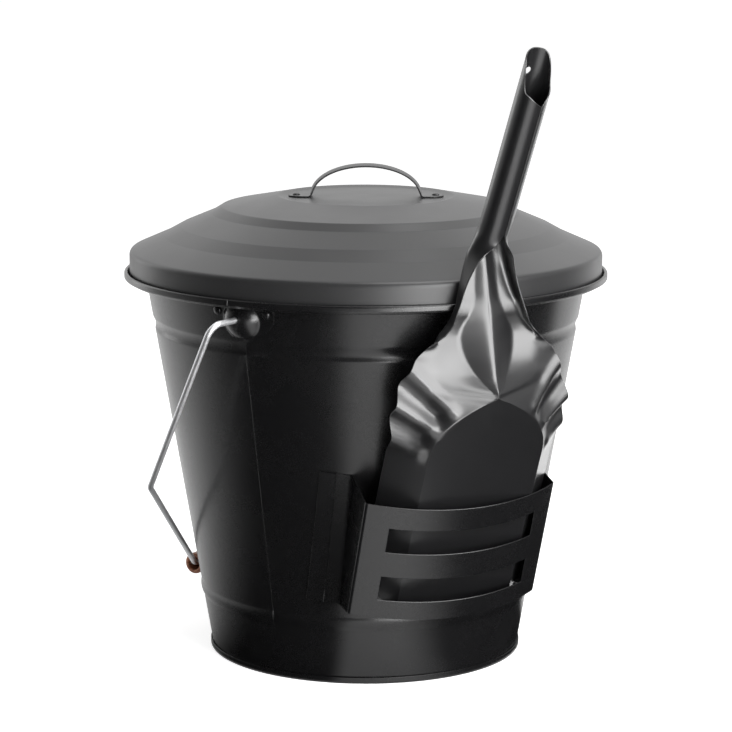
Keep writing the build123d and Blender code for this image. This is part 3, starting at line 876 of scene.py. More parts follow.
@dataclass
class Foot:
    """Bottom plate: a raised disc, its skirt inside the wall, and the hem rolled up outside it."""

    sheet: float = 0.6
    disc_height: float = 5.4
    skirt_radius: float = 116.6
    hem_radius: float = 120.12
    hem_height: float = 4.8
    edge: float = 0.15

    def build(self, shop: Workshop) -> None:
        """Turns the plate from one sheet line."""
        half = self.sheet / 2
        disc, skirt, hem = self.disc_height + half, self.skirt_radius + half, self.hem_radius - half
        corners = np.array([(0.0, disc), (skirt, disc), (skirt, half), (hem, half), (hem, self.hem_height)])
        line = rounded(corners, (1.2, 0.9, 0.9), steps=5, ease=0.8)
        rings = spread(np.linspace(0, 0.97, 7)[1:] * line[1, 0], disc)
        line = np.concatenate([line[:1], rings, line[1:]])
        skin = turned(sheet_loop(beside(line, -half), self.sheet), 360)
        shop.piece("foot_plate", skin, Coat.BODY, "bottom_plate", "bucket", self.edge)


@dataclass
class Ears:
    """The two domed ears under the rim, and the two rivets that hold each of them."""

    shell: Shell
    pivot: float = 277.5
    sheet: float = 1.2
    half_width: float = 27.0
    foot_half: float = 11.0
    drop: float = 13.7
    top: float = 285.65
    dome_radius: float = 17.0
    crown: float = 175.5
    dome_blend: float = 1.1
    off_wall: float = 0.05
    set_in: float = 0.02
    corner_bends: Tuple[float, ...] = (1.3, 6.0, 7.0, 5.0)
    bore: float = 2.72
    rivet_reach: float = 20.8
    rivet_rise: float = 4.8
    head_out: float = 1.3
    tail_in: float = 0.75
    edge: float = 0.14

    def reach(self, y: Grid, z: Grid, inset: float) -> Grid:
        """Distance from the bucket's axial plane: the dome or the plate, whichever stands further out.

        The plate is a sheet on the wall, sqrt((wall + sheet)^2 - y^2). The dome is the ball
        centre + sqrt(R^2 - y^2 - z^2). The two run together along a soft maximum
        (a + b + sqrt((a - b)^2 + blend^2)) / 2.
        """
        low = self.shell.wall(z) + self.off_wall + max(self.sheet - inset, 0.0)
        plate = np.sqrt(np.maximum(low**2 - y**2, 1.0))
        ball = self.dome_radius - inset
        rise = ball**2 - y**2 - (z - self.pivot) ** 2
        dome = self.crown - self.dome_radius + np.sign(rise) * np.sqrt(np.abs(rise))
        return (plate + dome + np.sqrt((plate - dome) ** 2 + self.dome_blend)) / 2 - self.set_in

    def outline(self, angle: Grid) -> Grid:
        """How far the plate's edge is from the pivot in each direction, by rays to its rounded outline."""
        rise = self.top - self.pivot
        corners = [(0.0, rise), (self.half_width, rise), (self.half_width - 0.6, -1.6)]
        corners += [(self.foot_half + 8.6, -9.2), (self.foot_half, -self.drop), (0.0, -self.drop)]
        line = rounded(np.array(corners), self.corner_bends, steps=7, ease=0.3)
        folded = np.abs((angle + np.pi) % (2 * np.pi) - np.pi)
        return np.interp(folded, np.arctan2(line[:, 0], line[:, 1]), np.hypot(line[:, 0], line[:, 1]))

    def ear(self) -> Skin:
        """Far ear: rings of points from the bore out to the plate's edge, on both faces of the sheet."""
        angle = np.linspace(0, 2 * np.pi, 160, endpoint=False)[None, :]
        share = np.concatenate([[0.0, 0.02, 0.05], np.linspace(0.1, 0.96, 26), [0.985, 1.0]])[:, None]
        ring = self.bore + (self.outline(angle) - self.bore) * share
        y = ring * np.sin(angle)
        z = self.pivot + ring * np.cos(angle)
        outer = spread(self.reach(y, z, 0.0), y, z)
        inner = spread(self.reach(y, z, self.sheet) - self.set_in, y, z)
        return lattice(np.concatenate([outer, inner[::-1]]), True, True).welded().outward()

    def rivets(self) -> Skin:
        """Two domed rivets through the far ear's plate, square to the leaning wall."""
        height = self.pivot + self.rivet_rise
        reach = float(self.shell.wall(height))
        head = turned(dome_head(3.3, 2.0, 0.3), 40).moved((1, 1, 1), (0, 0, self.head_out))
        tail = turned(dome_head(3.0, 0.9, 0.3, 0.2), 32).moved((1, -1, -1), (0, 0, -self.tail_in))
        turn = np.degrees(self.rivet_reach / reach)
        places = [leaning(90 + hand * turn, self.shell.lean, reach, height) for hand in (-1, 1)]
        return Skin.joined([part.placed(place) for place in places for part in (head, tail)])

    def build(self, shop: Workshop) -> None:
        """Makes both ears and their rivets; the near ones are the far ones turned half round."""
        for word, signs in (("far", (1, 1, 1)), ("near", (-1, -1, 1))):
            for name, skin, edge in (("ear", self.ear(), self.edge), ("ear_rivets", self.rivets(), 0.0)):
                node = f"{name}_{word}"
                shop.piece(f"{node}_piece", skin.moved(signs), Coat.BODY, node, "bucket", edge)


# The bail


def swept(line: Grid, radius: Grid, steps: int) -> Skin:
    """A round bar along a flat line.

    At each point the ring lies in the plane of the line's normal and its binormal: centre plus
    radius times (cos a normal + sin a binormal). A radius of 0 at an end closes it.

    Args:
        line: points along the bar, all in one plane.
        radius: one radius a point.
        steps: points in a ring.

    Returns:
        The closed surface, whose lay runs along the bar.
    """
    ahead = unit(np.gradient(line, axis=0))
    third = len(line) // 3
    bend = unit(np.cross(line[third] - line[0], line[2 * len(line) // 3] - line[0]))
    side = unit(np.cross(bend, ahead))
    angle = np.linspace(0, 2 * np.pi, steps, endpoint=False)
    cosine, sine, thick = np.cos(angle), np.sin(angle), radius[:, None]
    ring = cosine[:, None] * side[:, None, :] + sine[:, None] * bend
    length = np.concatenate([[0], np.cumsum(np.linalg.norm(np.diff(line, axis=0), axis=1))])
    lay = spread(length[:, None], cosine * thick, sine * thick)
    return lattice(line[:, None, :] + thick[..., None] * ring, wrap_columns=True, lay=lay).welded().outward()


@dataclass
class Bail:
    """The bail: a zinc wire with headed ends, shoulders and kinks, and its turned wooden grip."""

    pivot: float = 277.5
    hang: float = 31.0953
    wire: float = 4.5
    shoulder: float = 203.5
    bow: Table = ((190.7, 62.0), (181.0, 107.0), (170.5, 155.0))
    bends: Tuple[float, ...] = (8.0, 150.0, 150.0, 9.0, 14.0)
    drop: float = 265.0
    grip_length: float = 76.0
    grip_radius: float = 8.5
    grip_bore: float = 5.25
    grip_chamfer: float = 0.5
    grip_round: float = 1.6
    grooves: Tuple[float, float] = (6.0, 8.6)
    groove_depth: float = 0.28
    groove_half: float = 0.7
    swell: float = 0.10
    inner_end: float = 170.15
    # How far from the inner end, and the upset head's radius there.
    head: Table = ((0.0, 0.0), (0.0, 3.6), (0.3, 4.0), (1.8, 4.0), (2.1, 3.7), (2.15, 2.3))
    edge: float = 0.12

    def plane(self) -> Bearing:
        """The hanging bail's plane: across along X, and down along the bail."""
        return leaning(0.0, self.hang + 180.0, 0.0, self.pivot)

    def wire_skin(self) -> Skin:
        """The wire: its line rounded at every bend, with an upset head at each end inside the ears."""
        run = self.grip_length / 2 - 2.0
        half = np.array([(self.inner_end, 0.0), (self.shoulder, 0.0), *self.bow, (run, self.drop)])
        corners = np.concatenate([half * (-1, 1), half[::-1]])
        line = rounded(corners, self.bends + self.bends[::-1], steps=12, ease=2.0)[1:-1]
        head = np.array(self.head)
        lead = spread(-self.inner_end - head[:, 0], 0.0)
        line = np.concatenate([lead, line, lead[::-1] * (-1, 1)])
        radius = np.full(len(line), self.wire / 2)
        radius[: len(head)] = head[:, 1]
        radius[-len(head) :] = head[::-1, 1]
        apart = np.arange(len(line)) * 1e-7
        line = spread(line[:, 0] + apart, line[:, 1] + apart, apart)
        return swept(line, radius, 28).placed(self.plane())

    def grip_skin(self) -> Skin:
        """The sleeve: rounded ends, two shallow turned grooves near each end, and a plain bore."""
        half = self.grip_length / 2
        along = np.concatenate([half - np.array([0.02, 0.3, 0.9, 1.8]), np.linspace(half - 2.6, 0, 44)])
        along = np.concatenate([along, -along[-2::-1]])
        away = half - np.abs(along)
        bend = self.grip_round
        round_over = bend - np.sqrt(bend**2 - np.clip(bend - away, 0, bend) ** 2)
        groove = sum(np.exp(-(((away - place) / self.groove_half) ** 2)) for place in self.grooves)
        swell = self.swell * (1 - (along / half) ** 2)
        radius = self.grip_radius - self.swell + swell - round_over - self.groove_depth * groove
        bore, wide = self.grip_bore, self.grip_bore + self.grip_chamfer
        end, inner = half - 0.02, half - self.grip_chamfer
        loop = [(wide, -end), (bore, -inner), (bore, 0.0), (bore, inner), (wide, end)]
        skin = turned(np.concatenate([spread(radius, along), loop]), 72)
        centre = self.plane().world(np.array([0.0, self.drop, 0.0]))
        return skin.placed(Bearing(centre, (0.0, 1.0, 0.0), (0.0, 0.0, 1.0), (1.0, 0.0, 0.0)))

    def build(self, shop: Workshop) -> None:
        """Makes the wire and its grip."""
        shop.piece("bail_bar", self.wire_skin(), Coat.WIRE, "bail_wire", "bail")
        shop.piece("grip_sleeve", self.grip_skin(), Coat.WOOD, "bail_grip", "grip", self.edge)


# The lid


@dataclass
class Lid:
    """Stepped lid with its strap handle and the two rivets that hold the strap."""

    radius: float = 179.9
    base: float = 288.15
    top: float = 350.15
    sheet: float = 0.6
    # Radius and height of each step's corner, and how round it is.
    steps: Table = (
        (179.9, 308.85, 4.2),
        (153.9, 320.25, 5.0),
        (140.8, 327.45, 5.0),
        (117.7, 337.15, 4.0),
        (109.6, 342.15, 4.0),
        (67.0, 350.15, 4.0),
    )
    dish: float = 1.3
    dish_radius: float = 61.0
    turn: float = 32.3
    span: float = 41.0
    arch: float = 24.2
    foot_reach: float = 59.0
    strap_width: float = 20.0
    strap_sheet: float = 1.2
    strap_clear: float = 0.05
    strap_bend: float = 3.0
    strap_crown: float = 1.1
    strap_narrow: float = 0.10
    rivet_reach: float = 53.0
    head_out: float = 1.28
    tail_in: float = 0.7
    edge: float = 0.15
    strap_edge: float = 0.3

    def shell_skin(self) -> Skin:
        """The lid's sheet turned about Z, dished inside its top step."""
        floor = self.top - self.dish
        corners = [(self.radius, self.base)] + [(r, z) for r, z, _ in self.steps]
        corners += [(self.dish_radius, floor), (0.0, floor)]
        line = rounded(np.array(corners), [bend for _, _, bend in self.steps] + [5.0], steps=7, ease=1.5)
        disc = spread(np.linspace(line[-2, 0] * 0.92, 0.0, 6), floor)
        return turned(sheet_loop(np.concatenate([line[:-1], disc]), self.sheet), 384)

    def strap(self) -> Bearing:
        """The strap's own axes: across its width, along its length, and up."""
        turn = np.radians(self.turn)
        across = (np.cos(turn), np.sin(turn), 0.0)
        along = (-np.sin(turn), np.cos(turn), 0.0)
        return Bearing((0.0, 0.0, self.top - self.dish), across, along, (0.0, 0.0, 1.0))

    def strap_skin(self) -> Skin:
        """The strap: half an ellipse between two flat feet with round ends, crowned across its width.

        A point is at s along the bent line and t across it. The width follows a circle at each end,
        w = sqrt(R^2 - (s - s0)^2), and the crown lifts the middle by c (1 - t^2) on the arch only.
        """
        low = self.strap_clear + self.strap_sheet / 2
        rise = self.arch - self.strap_sheet / 2 - low
        angle = np.linspace(0, np.pi, 49)[1:-1]
        arch = spread(self.span * np.cos(angle), low + rise * np.sin(angle) ** 0.96)
        corner = np.array([[self.foot_reach, low], [self.span + 1.2, low], arch[2]])
        lead = rounded(corner, (self.strap_bend,), steps=6, ease=1.0)[1:-1]
        half = self.strap_width / 2
        middle = self.foot_reach - half
        reach = middle + half * np.cos(np.linspace(0, np.pi / 2, 12))
        side = np.concatenate([spread(reach, low), lead[lead[:, 0] < reach[-1]], arch[3:24]])
        line = np.concatenate([side, side[-2::-1] * (-1, 1)])
        width = np.sqrt(half**2 - np.clip(np.abs(line[:, 0]) - middle, 0, half) ** 2)
        width = width * (1 - self.strap_narrow * smooth(low, low + rise, line[:, 1]))
        across = np.linspace(-1, 1, 15)
        ahead = unit(np.gradient(line, axis=0))
        crown = self.strap_crown * smooth(low + 0.5, low + 6.0, line[:, 1:]) * (1 - across**2)
        x = line[:, :1] + ahead[:, 1:] * crown
        z = line[:, 1:] - ahead[:, :1] * crown
        skin = lattice(spread(across * width[:, None], x, z))
        return skin.thick(self.strap_sheet / 2, -self.strap_sheet / 2, self.strap_edge).placed(self.strap())

    def rivet_skin(self) -> Skin:
        """Two small domed rivets, one through each foot."""
        head = turned(dome_head(2.8, 1.5, 0.25, 0.25), 36)
        tail = turned(dome_head(2.6, 0.8, 0.25, 0.2), 28)
        skins = []
        for place in (-self.rivet_reach, self.rivet_reach):
            skins.append(head.moved((1, 1, 1), (0, place, self.head_out)))
            skins.append(tail.moved((1, -1, -1), (0, place, -self.tail_in)))
        return Skin.joined(skins).placed(self.strap())

    def build(self, shop: Workshop) -> None:
        """Makes the lid, its handle and the handle's rivets."""
        shop.piece("lid_dome", self.shell_skin(), Coat.LID, "lid_shell", "lid", self.edge)
        shop.piece("lid_strap", self.strap_skin(), Coat.LID, "lid_handle", "lid")
        shop.piece("strap_rivets", self.rivet_skin(), Coat.LID, "lid_handle_rivets", "lid")


# The holder and the shovel

HOLDER_TURN = -31.1
# The pocket's axes, across, up and out: its bearing, its lean, and its origin's reach and height.
POCKET = leaning(HOLDER_TURN, 22.041479, 183.078423, 145.624383)


@dataclass
class Holder:
    """Shovel holder: one folded sheet with hemmed flanges, splayed sides and a slotted bowed front."""

    shell: Shell
    mid_height: float = 105.0
    sheet: float = 0.8
    off_wall: float = 0.05
    front_half: float = 77.3
    foot_half: float = 74.5
    bow: float = 20.0
    top: float = -1.8
    length: float = 92.4
    aside: float = -3.8
    set_back: float = 0.9
    kick: float = 0.068
    flange: float = 19.3
    hem: float = 9.8
    hem_gap: float = 0.06
    flange_top: float = 57.0
    flange_foot: float = -46.0
    slot_half: float = 59.5
    slots: Tuple[float, float] = (17.7, 57.6)
    slot_height: float = 19.6
    slot_columns: int = 15
    # Radii of the folds at the front's corner, the wall's foot and the hem's two turns.
    folds: Tuple[float, ...] = (2.4, 2.2, 0.42, 0.42)
    stop_half: float = 54.0
    stop_depth: float = 12.0
    stop_clear: float = 0.02
    edge: float = 0.27

    @property
    def bow_radius(self) -> float:
        """Radius of the bowed front."""
        return (self.front_half**2 + self.bow**2) / (2 * self.bow)

    def bowed(self, x: Grid) -> Grid:
        """How far the bowed sheet's middle lies behind the front: R - sqrt((R - half)^2 - x^2)."""
        return self.bow_radius - np.sqrt((self.bow_radius - self.sheet / 2) ** 2 - x**2)

    def on_wall(self, across: float, up: Grid, off: float) -> Grid:
        """Points a given distance off the body's wall.

        A point across and up the wall's flat face is pushed along the face's normal until its
        distance from the bucket's axis is the wall's radius at its height plus the offset. The
        push is found by five rounds of that correction.
        """
        wall = self.shell.wall
        face = leaning(HOLDER_TURN, self.shell.lean, float(wall(self.mid_height)), self.mid_height)
        out = 0 * up
        for _ in range(5):
            points = face.world(spread(across, up, out))
            out = out + wall(points[..., 2]) + off - np.hypot(points[..., 0], points[..., 1])
        return face.world(spread(across, up, out))

    def on_front(self, x: Grid, level: Grid, depth: Grid) -> Grid:
        """Points behind the front: a level below its top edge, on a plane kicked out at the foot."""
        out = -depth - self.set_back - self.kick * level
        return POCKET.world(spread(x + self.aside, level + self.top, out))

    def rows(self) -> Grid:
        """Levels of the front's rows below its top edge, with one on each slot's edges."""
        ends = [0.0, *(end for slot in self.slots for end in (slot, slot + self.slot_height)), self.length]
        parts = [np.linspace(low, high, 7)[:-1] for low, high in zip(ends, ends[1:])]
        return -np.concatenate(parts + [[self.length]])

    def skin(self) -> Skin:
        """The folded sheet.

        Each row runs across the holder through the same bends: hem, flange, side wall, bowed front,
        and the same again mirrored. The front's points lie on a circle in the pocket's axes, and a
        side wall is ruled from its front corner to its foot on the body's wall.
        """
        half = self.sheet / 2
        level = self.rows()
        up = self.flange_foot + (self.flange_top - self.flange_foot) * (1 + level / self.length)
        limit = self.front_half - half
        flat = np.linspace(0, self.slot_half, self.slot_columns + 1)
        x = np.concatenate([flat, np.linspace(self.slot_half, limit - 3.4, 6)[1:]])
        near, far = self.off_wall + half, self.off_wall + 3 * half + self.hem_gap
        outer = self.foot_half + self.flange - half
        feet = [(self.foot_half - half, near), (outer, near), (outer, far), (outer - self.hem + half, far)]
        halves = []
        for hand in (-1, 1):
            front = self.on_front(hand * x, level[:, None], self.bowed(x))
            corner = self.on_front(hand * limit, level, self.bowed(limit))
            folds = [self.on_wall(hand * across, up, off) for across, off in feet]
            corners = np.stack([front[:, -1], corner, *folds], axis=1)
            bends = rounded(corners, self.folds, steps=7, ease=0.9)
            share = np.linspace(0, 1, 5)[1:-1, None]
            wall = bends[:, 9:10] * (1 - share) + bends[:, 10:11] * share
            halves.append(np.concatenate([front, bends[:, 1:10], wall, bends[:, 10:]], axis=1))
        points = np.concatenate([halves[0][:, :0:-1], halves[1]], axis=1)
        columns = points.shape[1]
        inside = np.abs(np.arange(columns - 1) - columns // 2 + 0.5) < self.slot_columns
        deep = -(level[1:] + level[:-1]) / 2
        in_slot = np.any([(deep > slot) & (deep < slot + self.slot_height) for slot in self.slots], axis=0)
        sheet = lattice(points, keep=~(in_slot[:, None] & inside)).thick(half, -half, self.edge)
        return Skin.joined([sheet, self.stop_skin()])

    def stop_skin(self) -> Skin:
        """The lip turned in at the front's foot, on which the shovel stands."""
        half = self.sheet / 2
        x = np.linspace(-self.stop_half, self.stop_half, 31)
        foot = -self.length + half
        corners = np.array([(foot + 2.8, 0.0), (foot, 0.0), (foot, self.stop_depth)])
        line = rounded(corners, (1.3,), steps=6, ease=0.6)
        narrow = 1 - 0.03 * smooth(0.0, self.stop_depth, line[:, 1:])
        points = self.on_front(x * narrow, line[:, :1], line[:, 1:] + self.bowed(x))
        return lattice(points).thick(half - self.stop_clear, -half + self.stop_clear)

    def build(self, shop: Workshop) -> None:
        """Makes the holder."""
        shop.piece("holder_sheet", self.skin(), Coat.BODY, "shovel_holder", "bucket")


@dataclass
class Shovel:
    """The shovel: a flat floor, pleated shoulders, a ridge, and a neck that rolls into the handle.

    Its own axes are the pocket's: x across, y up the front, n out of it, with n = 0 at the floor.
    """

    floor_inset: float = 10.97
    shift: float = 2.6
    sheet: float = 1.0
    edge: float = 0.3
    tip: float = -92.0
    rake: float = 0.36
    floor_dish: float = 0.4
    hollow_bend: float = 9.0
    # Radius of the shoulder's turn past a span of levels, and how much wider it is before the span.
    turn_bends: Tuple[float, float] = (4.5, 80.0)
    turn_span: Tuple[float, float] = (100.0, 113.0)
    # Levels over which the neck's section becomes the handle's half circle, and that one's angle.
    neck_span: Tuple[float, float] = (170.0, 195.0)
    half_circle: float = 179.3
    # Levels over which the pleats rise out of the straight sides, and over which they fade out.
    pleat_start: Tuple[float, float] = (20.0, 38.0)
    pleat_end: Tuple[float, float] = (98.0, 114.0)
    tube_start: float = 192.0
    tube_radius: float = 10.4
    tube_depth: float = 54.5
    tube_lean: float = 3.6
    seam_turn: float = 15.0
    tube_aside: float = 0.9
    tube_aside_slope: float = 0.021
    keel: float = 2.0
    keel_slope: float = 0.72
    cut_start: float = 270.0
    tube_end: float = 331.4
    hole_level: float = 312.6
    hole_radius: float = 2.75
    hole_aside: float = 1.2
    # Level, half width of the floor, depth of the floor or the ridge.
    spine: Table = (
        (-120.0, 46.6, 0.0),
        (36.0, 46.6, 0.0),
        (46.0, 45.2, 0.0),
        (55.0, 40.8, 0.0),
        (61.0, 36.6, 0.0),
        (71.4, 24.2, 0.0),
        (79.0, 11.0, 0.0),
        (84.6, 0.0, 0.0),
        (95.0, 0.0, 7.6),
        (112.3, 0.0, 20.0),
        (130.0, 0.0, 32.0),
        (147.4, 0.0, 44.0),
        (164.2, 0.0, 54.5),
        (172.5, 0.0, 59.5),
        (184.0, 0.0, 63.9),
        (192.0, 0.0, 64.8),
    )
    # Level, steps across and out to the valley beside the ridge, then the shoulder's turn and its rim.
    shoulder: Table = (
        (-120.0, 1.0, -0.98, 58.0, -11.2, 69.0, -22.0),
        (36.0, 1.0, -0.98, 58.0, -11.2, 69.0, -22.0),
        (50.0, 1.0, -0.8, 56.5, -9.9, 70.3, -18.8),
        (57.0, 1.0, -0.55, 55.5, -10.7, 70.6, -19.2),
        (68.0, 1.0, -0.4, 52.0, -12.8, 70.8, -20.8),
        (78.0, 1.0, -0.4, 46.0, -14.8, 68.0, -22.8),
        (84.6, 1.5, -1.0, 42.5, -18.0, 65.2, -25.0),
        (91.0, 9.0, -6.4, 41.0, -20.6, 62.5, -26.5),
        (95.0, 13.0, -9.0, 40.0, -22.6, 61.0, -27.5),
        (101.0, 17.2, -11.6, 39.5, -25.4, 57.5, -29.0),
        (105.0, 19.2, -12.4, 39.0, -27.4, 54.5, -29.8),
        (110.5, 21.0, -12.6, 37.5, -30.4, 47.5, -31.0),
        (115.5, 21.4, -12.2, 40.0, -33.4, 41.0, -30.0),
        (120.5, 20.2, -10.8, 36.6, -36.2, 34.8, -29.8),
        (127.0, 16.8, -8.2, 31.2, -38.7, 30.4, -30.6),
        (132.0, 13.6, -5.9, 28.4, -40.2, 28.4, -31.9),
        (137.5, 11.0, -4.8, 25.6, -42.3, 26.2, -34.0),
        (143.0, 9.6, -5.2, 23.0, -46.8, 24.0, -36.0),
        (150.0, 9.0, -5.0, 20.6, -51.4, 21.4, -38.8),
        (160.0, 8.0, -5.0, 18.0, -56.0, 18.0, -42.0),
        (172.0, 6.6, -2.8, 15.0, -59.0, 14.2, -43.8),
        (183.0, 6.0, -1.0, 12.6, -59.6, 10.0, -43.9),
        (192.0, 5.5, -0.4, 11.2, -58.0, 6.0, -43.9),
        (340.0, 5.5, -0.4, 11.2, -58.0, 6.0, -43.9),
    )
    # Fan coordinate of the pleats, how far the sheet stands out there.
    pleats: Table = (
        (14.0, 0.0),
        (29.0, 0.3),
        (39.0, 2.9),
        (49.5, -3.9),
        (59.0, 2.8),
        (70.0, -4.3),
        (84.0, 2.6),
        (94.0, 0.4),
        (108.0, 0.0),
    )
    # Angle from the handle's back, level of its end there.
    end_line: Table = (
        (-196.0, 294.3),
        (-180.0, 296.2),
        (-165.0, 298.2),
        (-140.0, 301.4),
        (-122.0, 303.2),
        (-116.0, 305.5),
        (-105.0, 311.5),
        (-92.0, 318.5),
        (-75.0, 324.6),
        (-45.0, 328.8),
        (-5.0, 330.2),
        (30.0, 329.6),
        (50.0, 327.4),
        (65.0, 323.0),
        (80.0, 315.8),
        (95.0, 308.6),
        (108.0, 305.2),
        (130.0, 302.6),
        (150.0, 298.8),
        (166.0, 294.3),
    )

    @property
    def lean(self) -> float:
        """How far the handle drops back for each millimetre along the shovel."""
        return float(np.tan(np.radians(self.tube_lean)))

    def levels(self) -> Grid:
        """Levels of the rows: close together over the shoulders and at the handle's end."""
        ends = (self.tip, 20.0, 60.0, 130.0, 200.0, 296.0, self.tube_end)
        counts = (16, 18, 64, 44, 16, 30)
        spans = zip(ends, ends[1:], counts)
        parts = [np.linspace(low, high, count, endpoint=False) for low, high, count in spans]
        return np.concatenate(parts + [[ends[-1]]])

    def wing(self, level: Grid) -> Tuple[Grid, Grid]:
        """One wing from the crease or ridge to its rim.

        Up to the neck a section is a line through the hollow and the turn, rounded at both. In
        the handle it is a half circle, and between the two each point slides from one to the other
        at the same share of the section's length.

        Args:
            level: levels of the rows.

        Returns:
            The points across and out, and their share of the section's length.
        """
        spine = self.read(self.spine, level)
        turn = self.read(self.shoulder, level)
        start = spine * (1, -1)
        corners = np.stack([start, start + turn[:, 0:2], turn[:, 2:4], turn[:, 4:6]], axis=1)
        tight, wider = self.turn_bends
        bend = tight + wider * (1 - smooth(*self.turn_span, level[:, None]))
        line = rounded(corners, (self.hollow_bend, bend), steps=8, ease=0.8)
        line = self.filled(line, ((0, 9), (11, 14), (22, 9)))
        step = np.linalg.norm(np.diff(line, axis=1), axis=2)
        share = np.concatenate([np.zeros((len(level), 1)), np.cumsum(step, axis=1)], axis=1)
        share = share / share[:, -1:]
        axis = self.tube_depth - (level[:, None] - self.tube_start) * self.lean
        angle = share * np.radians(self.half_circle)
        tube = spread(self.tube_radius * np.sin(angle), -axis - self.tube_radius * np.cos(angle))
        blend = smooth(*self.neck_span, level)[:, None, None]
        return line * (1 - blend) + tube * blend, share

    @staticmethod
    def filled(line: Grid, spans: Sequence[Tuple[int, int]]) -> Grid:
        """The line with more points on some of its straight parts, set closer near the first one's start."""
        parts = []
        done = 0
        for first, count in spans:
            share = np.linspace(0, 1, count + 2)[1:-1, None] ** (1.5 if first == 0 else 1.0)
            begin = line[:, first : first + 1]
            end = line[:, first + 1 : first + 2]
            parts += [line[:, done : first + 1], begin * (1 - share) + end * share]
            done = first + 1
        return np.concatenate(parts + [line[:, done:]], axis=1)

    @staticmethod
    def read(table: Table, place: Grid) -> Grid:
        """A table's values at each place, in the places' own shape if the table has one value a row."""
        rows = np.array(table)
        values = faired(rows[:, 0], rows[:, 1:], place.ravel())
        return values.reshape(place.shape) if rows.shape[1] == 2 else values

    def pleat(self, level: Grid, across: Grid, share: Grid) -> Grid:
        """Depth of the pleats at a point, faded out toward the crease, the straight sides and the neck."""
        side = across - 45.0
        height = self.read(self.pleats, (level + 0.2 * side) / (1.0 + 0.0125 * side))
        grow = smooth(0.0, 0.32, share) * (0.8 + 0.2 * share)
        return height * grow * smooth(*self.pleat_start, level) * (1 - smooth(*self.pleat_end, level))

    def surface(self) -> Skin:
        """The whole outward face of the shovel as one grid, from rim to rim and tip to tongue.

        The two wings and the floor between them are joined, softened along the ridge by
        n - k (sqrt(x^2 + soft^2) - |x|), and turned about the handle's axis toward its seam. Then
        the tip is raked, the handle's end is drawn in to its cut line, and the handle set aside.
        """
        level = self.levels()
        floor = self.read(self.spine, level)[:, :1]
        wing, share = self.wing(level)
        level = level[:, None]
        across, out = wing[..., 0], wing[..., 1]
        left = out + self.pleat(level, across, share)
        right = out + self.pleat(level + 4.0 * smooth(50.0, 70.0, level), across * 0.97, share)
        inner = np.linspace(-1, 1, 27)[1:-1]
        inner = np.sign(inner) * np.abs(inner) ** 0.8
        dish = self.floor_dish * (1 - inner**2) * smooth(0.0, 30.0, floor)
        x = np.concatenate([-across[:, ::-1], floor * inner, across], axis=1)
        n = np.concatenate([left[:, ::-1], dish + left[:, :1], right], axis=1)
        soft = self.keel * smooth(85.0, 97.0, level) * (1 - smooth(165.0, 190.0, level))
        n = n - self.keel_slope * (np.sqrt(x**2 + soft**2) - np.abs(x))
        spin = np.radians(self.seam_turn) * smooth(150.0, 198.0, level)
        centre = np.maximum(level - self.tube_start, 0.0) * self.lean - self.tube_depth
        swing = n - centre
        x, n = x * np.cos(spin) + swing * np.sin(spin), centre - x * np.sin(spin) + swing * np.cos(spin)
        angle = np.degrees(np.arctan2(x, centre - n))
        begun = np.arange(x.shape[1]) < across.shape[1]
        angle = angle - 360.0 * (begun & (angle > 90.0))
        y = level + smooth(self.tip + 45.0, self.tip, level) * self.rake * np.maximum(-n, 0.0)
        stretch = np.clip((y - self.cut_start) / (self.tube_end - self.cut_start), 0.0, 1.0)
        drawn = self.cut_start + stretch * (self.read(self.end_line, angle) - self.cut_start)
        short = np.where(y > self.cut_start, drawn - y, 0.0)
        y = y + short
        n = n + short * self.lean
        aside = (self.tube_aside + self.tube_aside_slope * (y - self.tube_start)) * smooth(168.0, 200.0, y)
        return lattice(spread(x + self.shift + aside, y, n - self.floor_inset))

    def hole(self, piece: bpy.types.Object) -> None:
        """Drills the hanging hole through the tongue."""
        radius, deep = self.hole_radius, 8.0
        tool = turned(np.array([[0.0, -deep], [radius, -deep], [radius, deep], [0.0, deep]]), 40)
        back = (self.hole_level - self.tube_start) * self.lean - self.tube_depth - self.tube_radius
        middle = (self.shift + self.hole_aside, self.hole_level, back - self.floor_inset)
        drill = set_out("drill", tool.moved((1, 1, 1), middle).placed(POCKET), MM)
        drill.data.shade_flat()
        cut = piece.modifiers.new("hanging_hole", "BOOLEAN")
        arranged(cut, operation="DIFFERENCE", solver="EXACT", object=drill)
        with bpy.context.temp_override(object=piece, active_object=piece, selected_objects=[piece]):
            bpy.ops.object.modifier_apply(modifier=cut.name)
        bpy.data.objects.remove(drill)

    def build(self, shop: Workshop) -> None:
        """Makes the shovel."""
        skin = self.surface().thick(0.0, -self.sheet, self.edge).placed(POCKET)
        self.hole(shop.piece("shovel_sheet", skin, Coat.SHOVEL, "shovel", "shovel"))


# The studio


@dataclass(frozen=True)
class Softbox:
    """A flat square lamp: where it stands and how far off, by bearing from the camera and height."""

    name: str
    bearing: float
    elevation: float
    distance: float
    width: float
    height: float
    power: float
    aim: float = 0.18

    def build(self, facing: float) -> None:
        """Hangs the lamp, aimed at the bucket's middle; facing is the camera's own bearing."""
        azimuth = np.radians(facing + self.bearing)
        lift = np.radians(self.elevation)
        away = Vector((np.sin(azimuth) * np.cos(lift), -np.cos(azimuth) * np.cos(lift), np.sin(lift)))
        lamp = bpy.data.lights.new(self.name, "AREA")
        arranged(lamp, shape="RECTANGLE", size=self.width, size_y=self.height, energy=self.power)
        stand = set_up(self.name, lamp)
        stand.location = away * self.distance + Vector((0, 0, self.aim))
        stand.rotation_euler = away.to_track_quat("Z", "Y").to_euler()
        stand.visible_camera = False


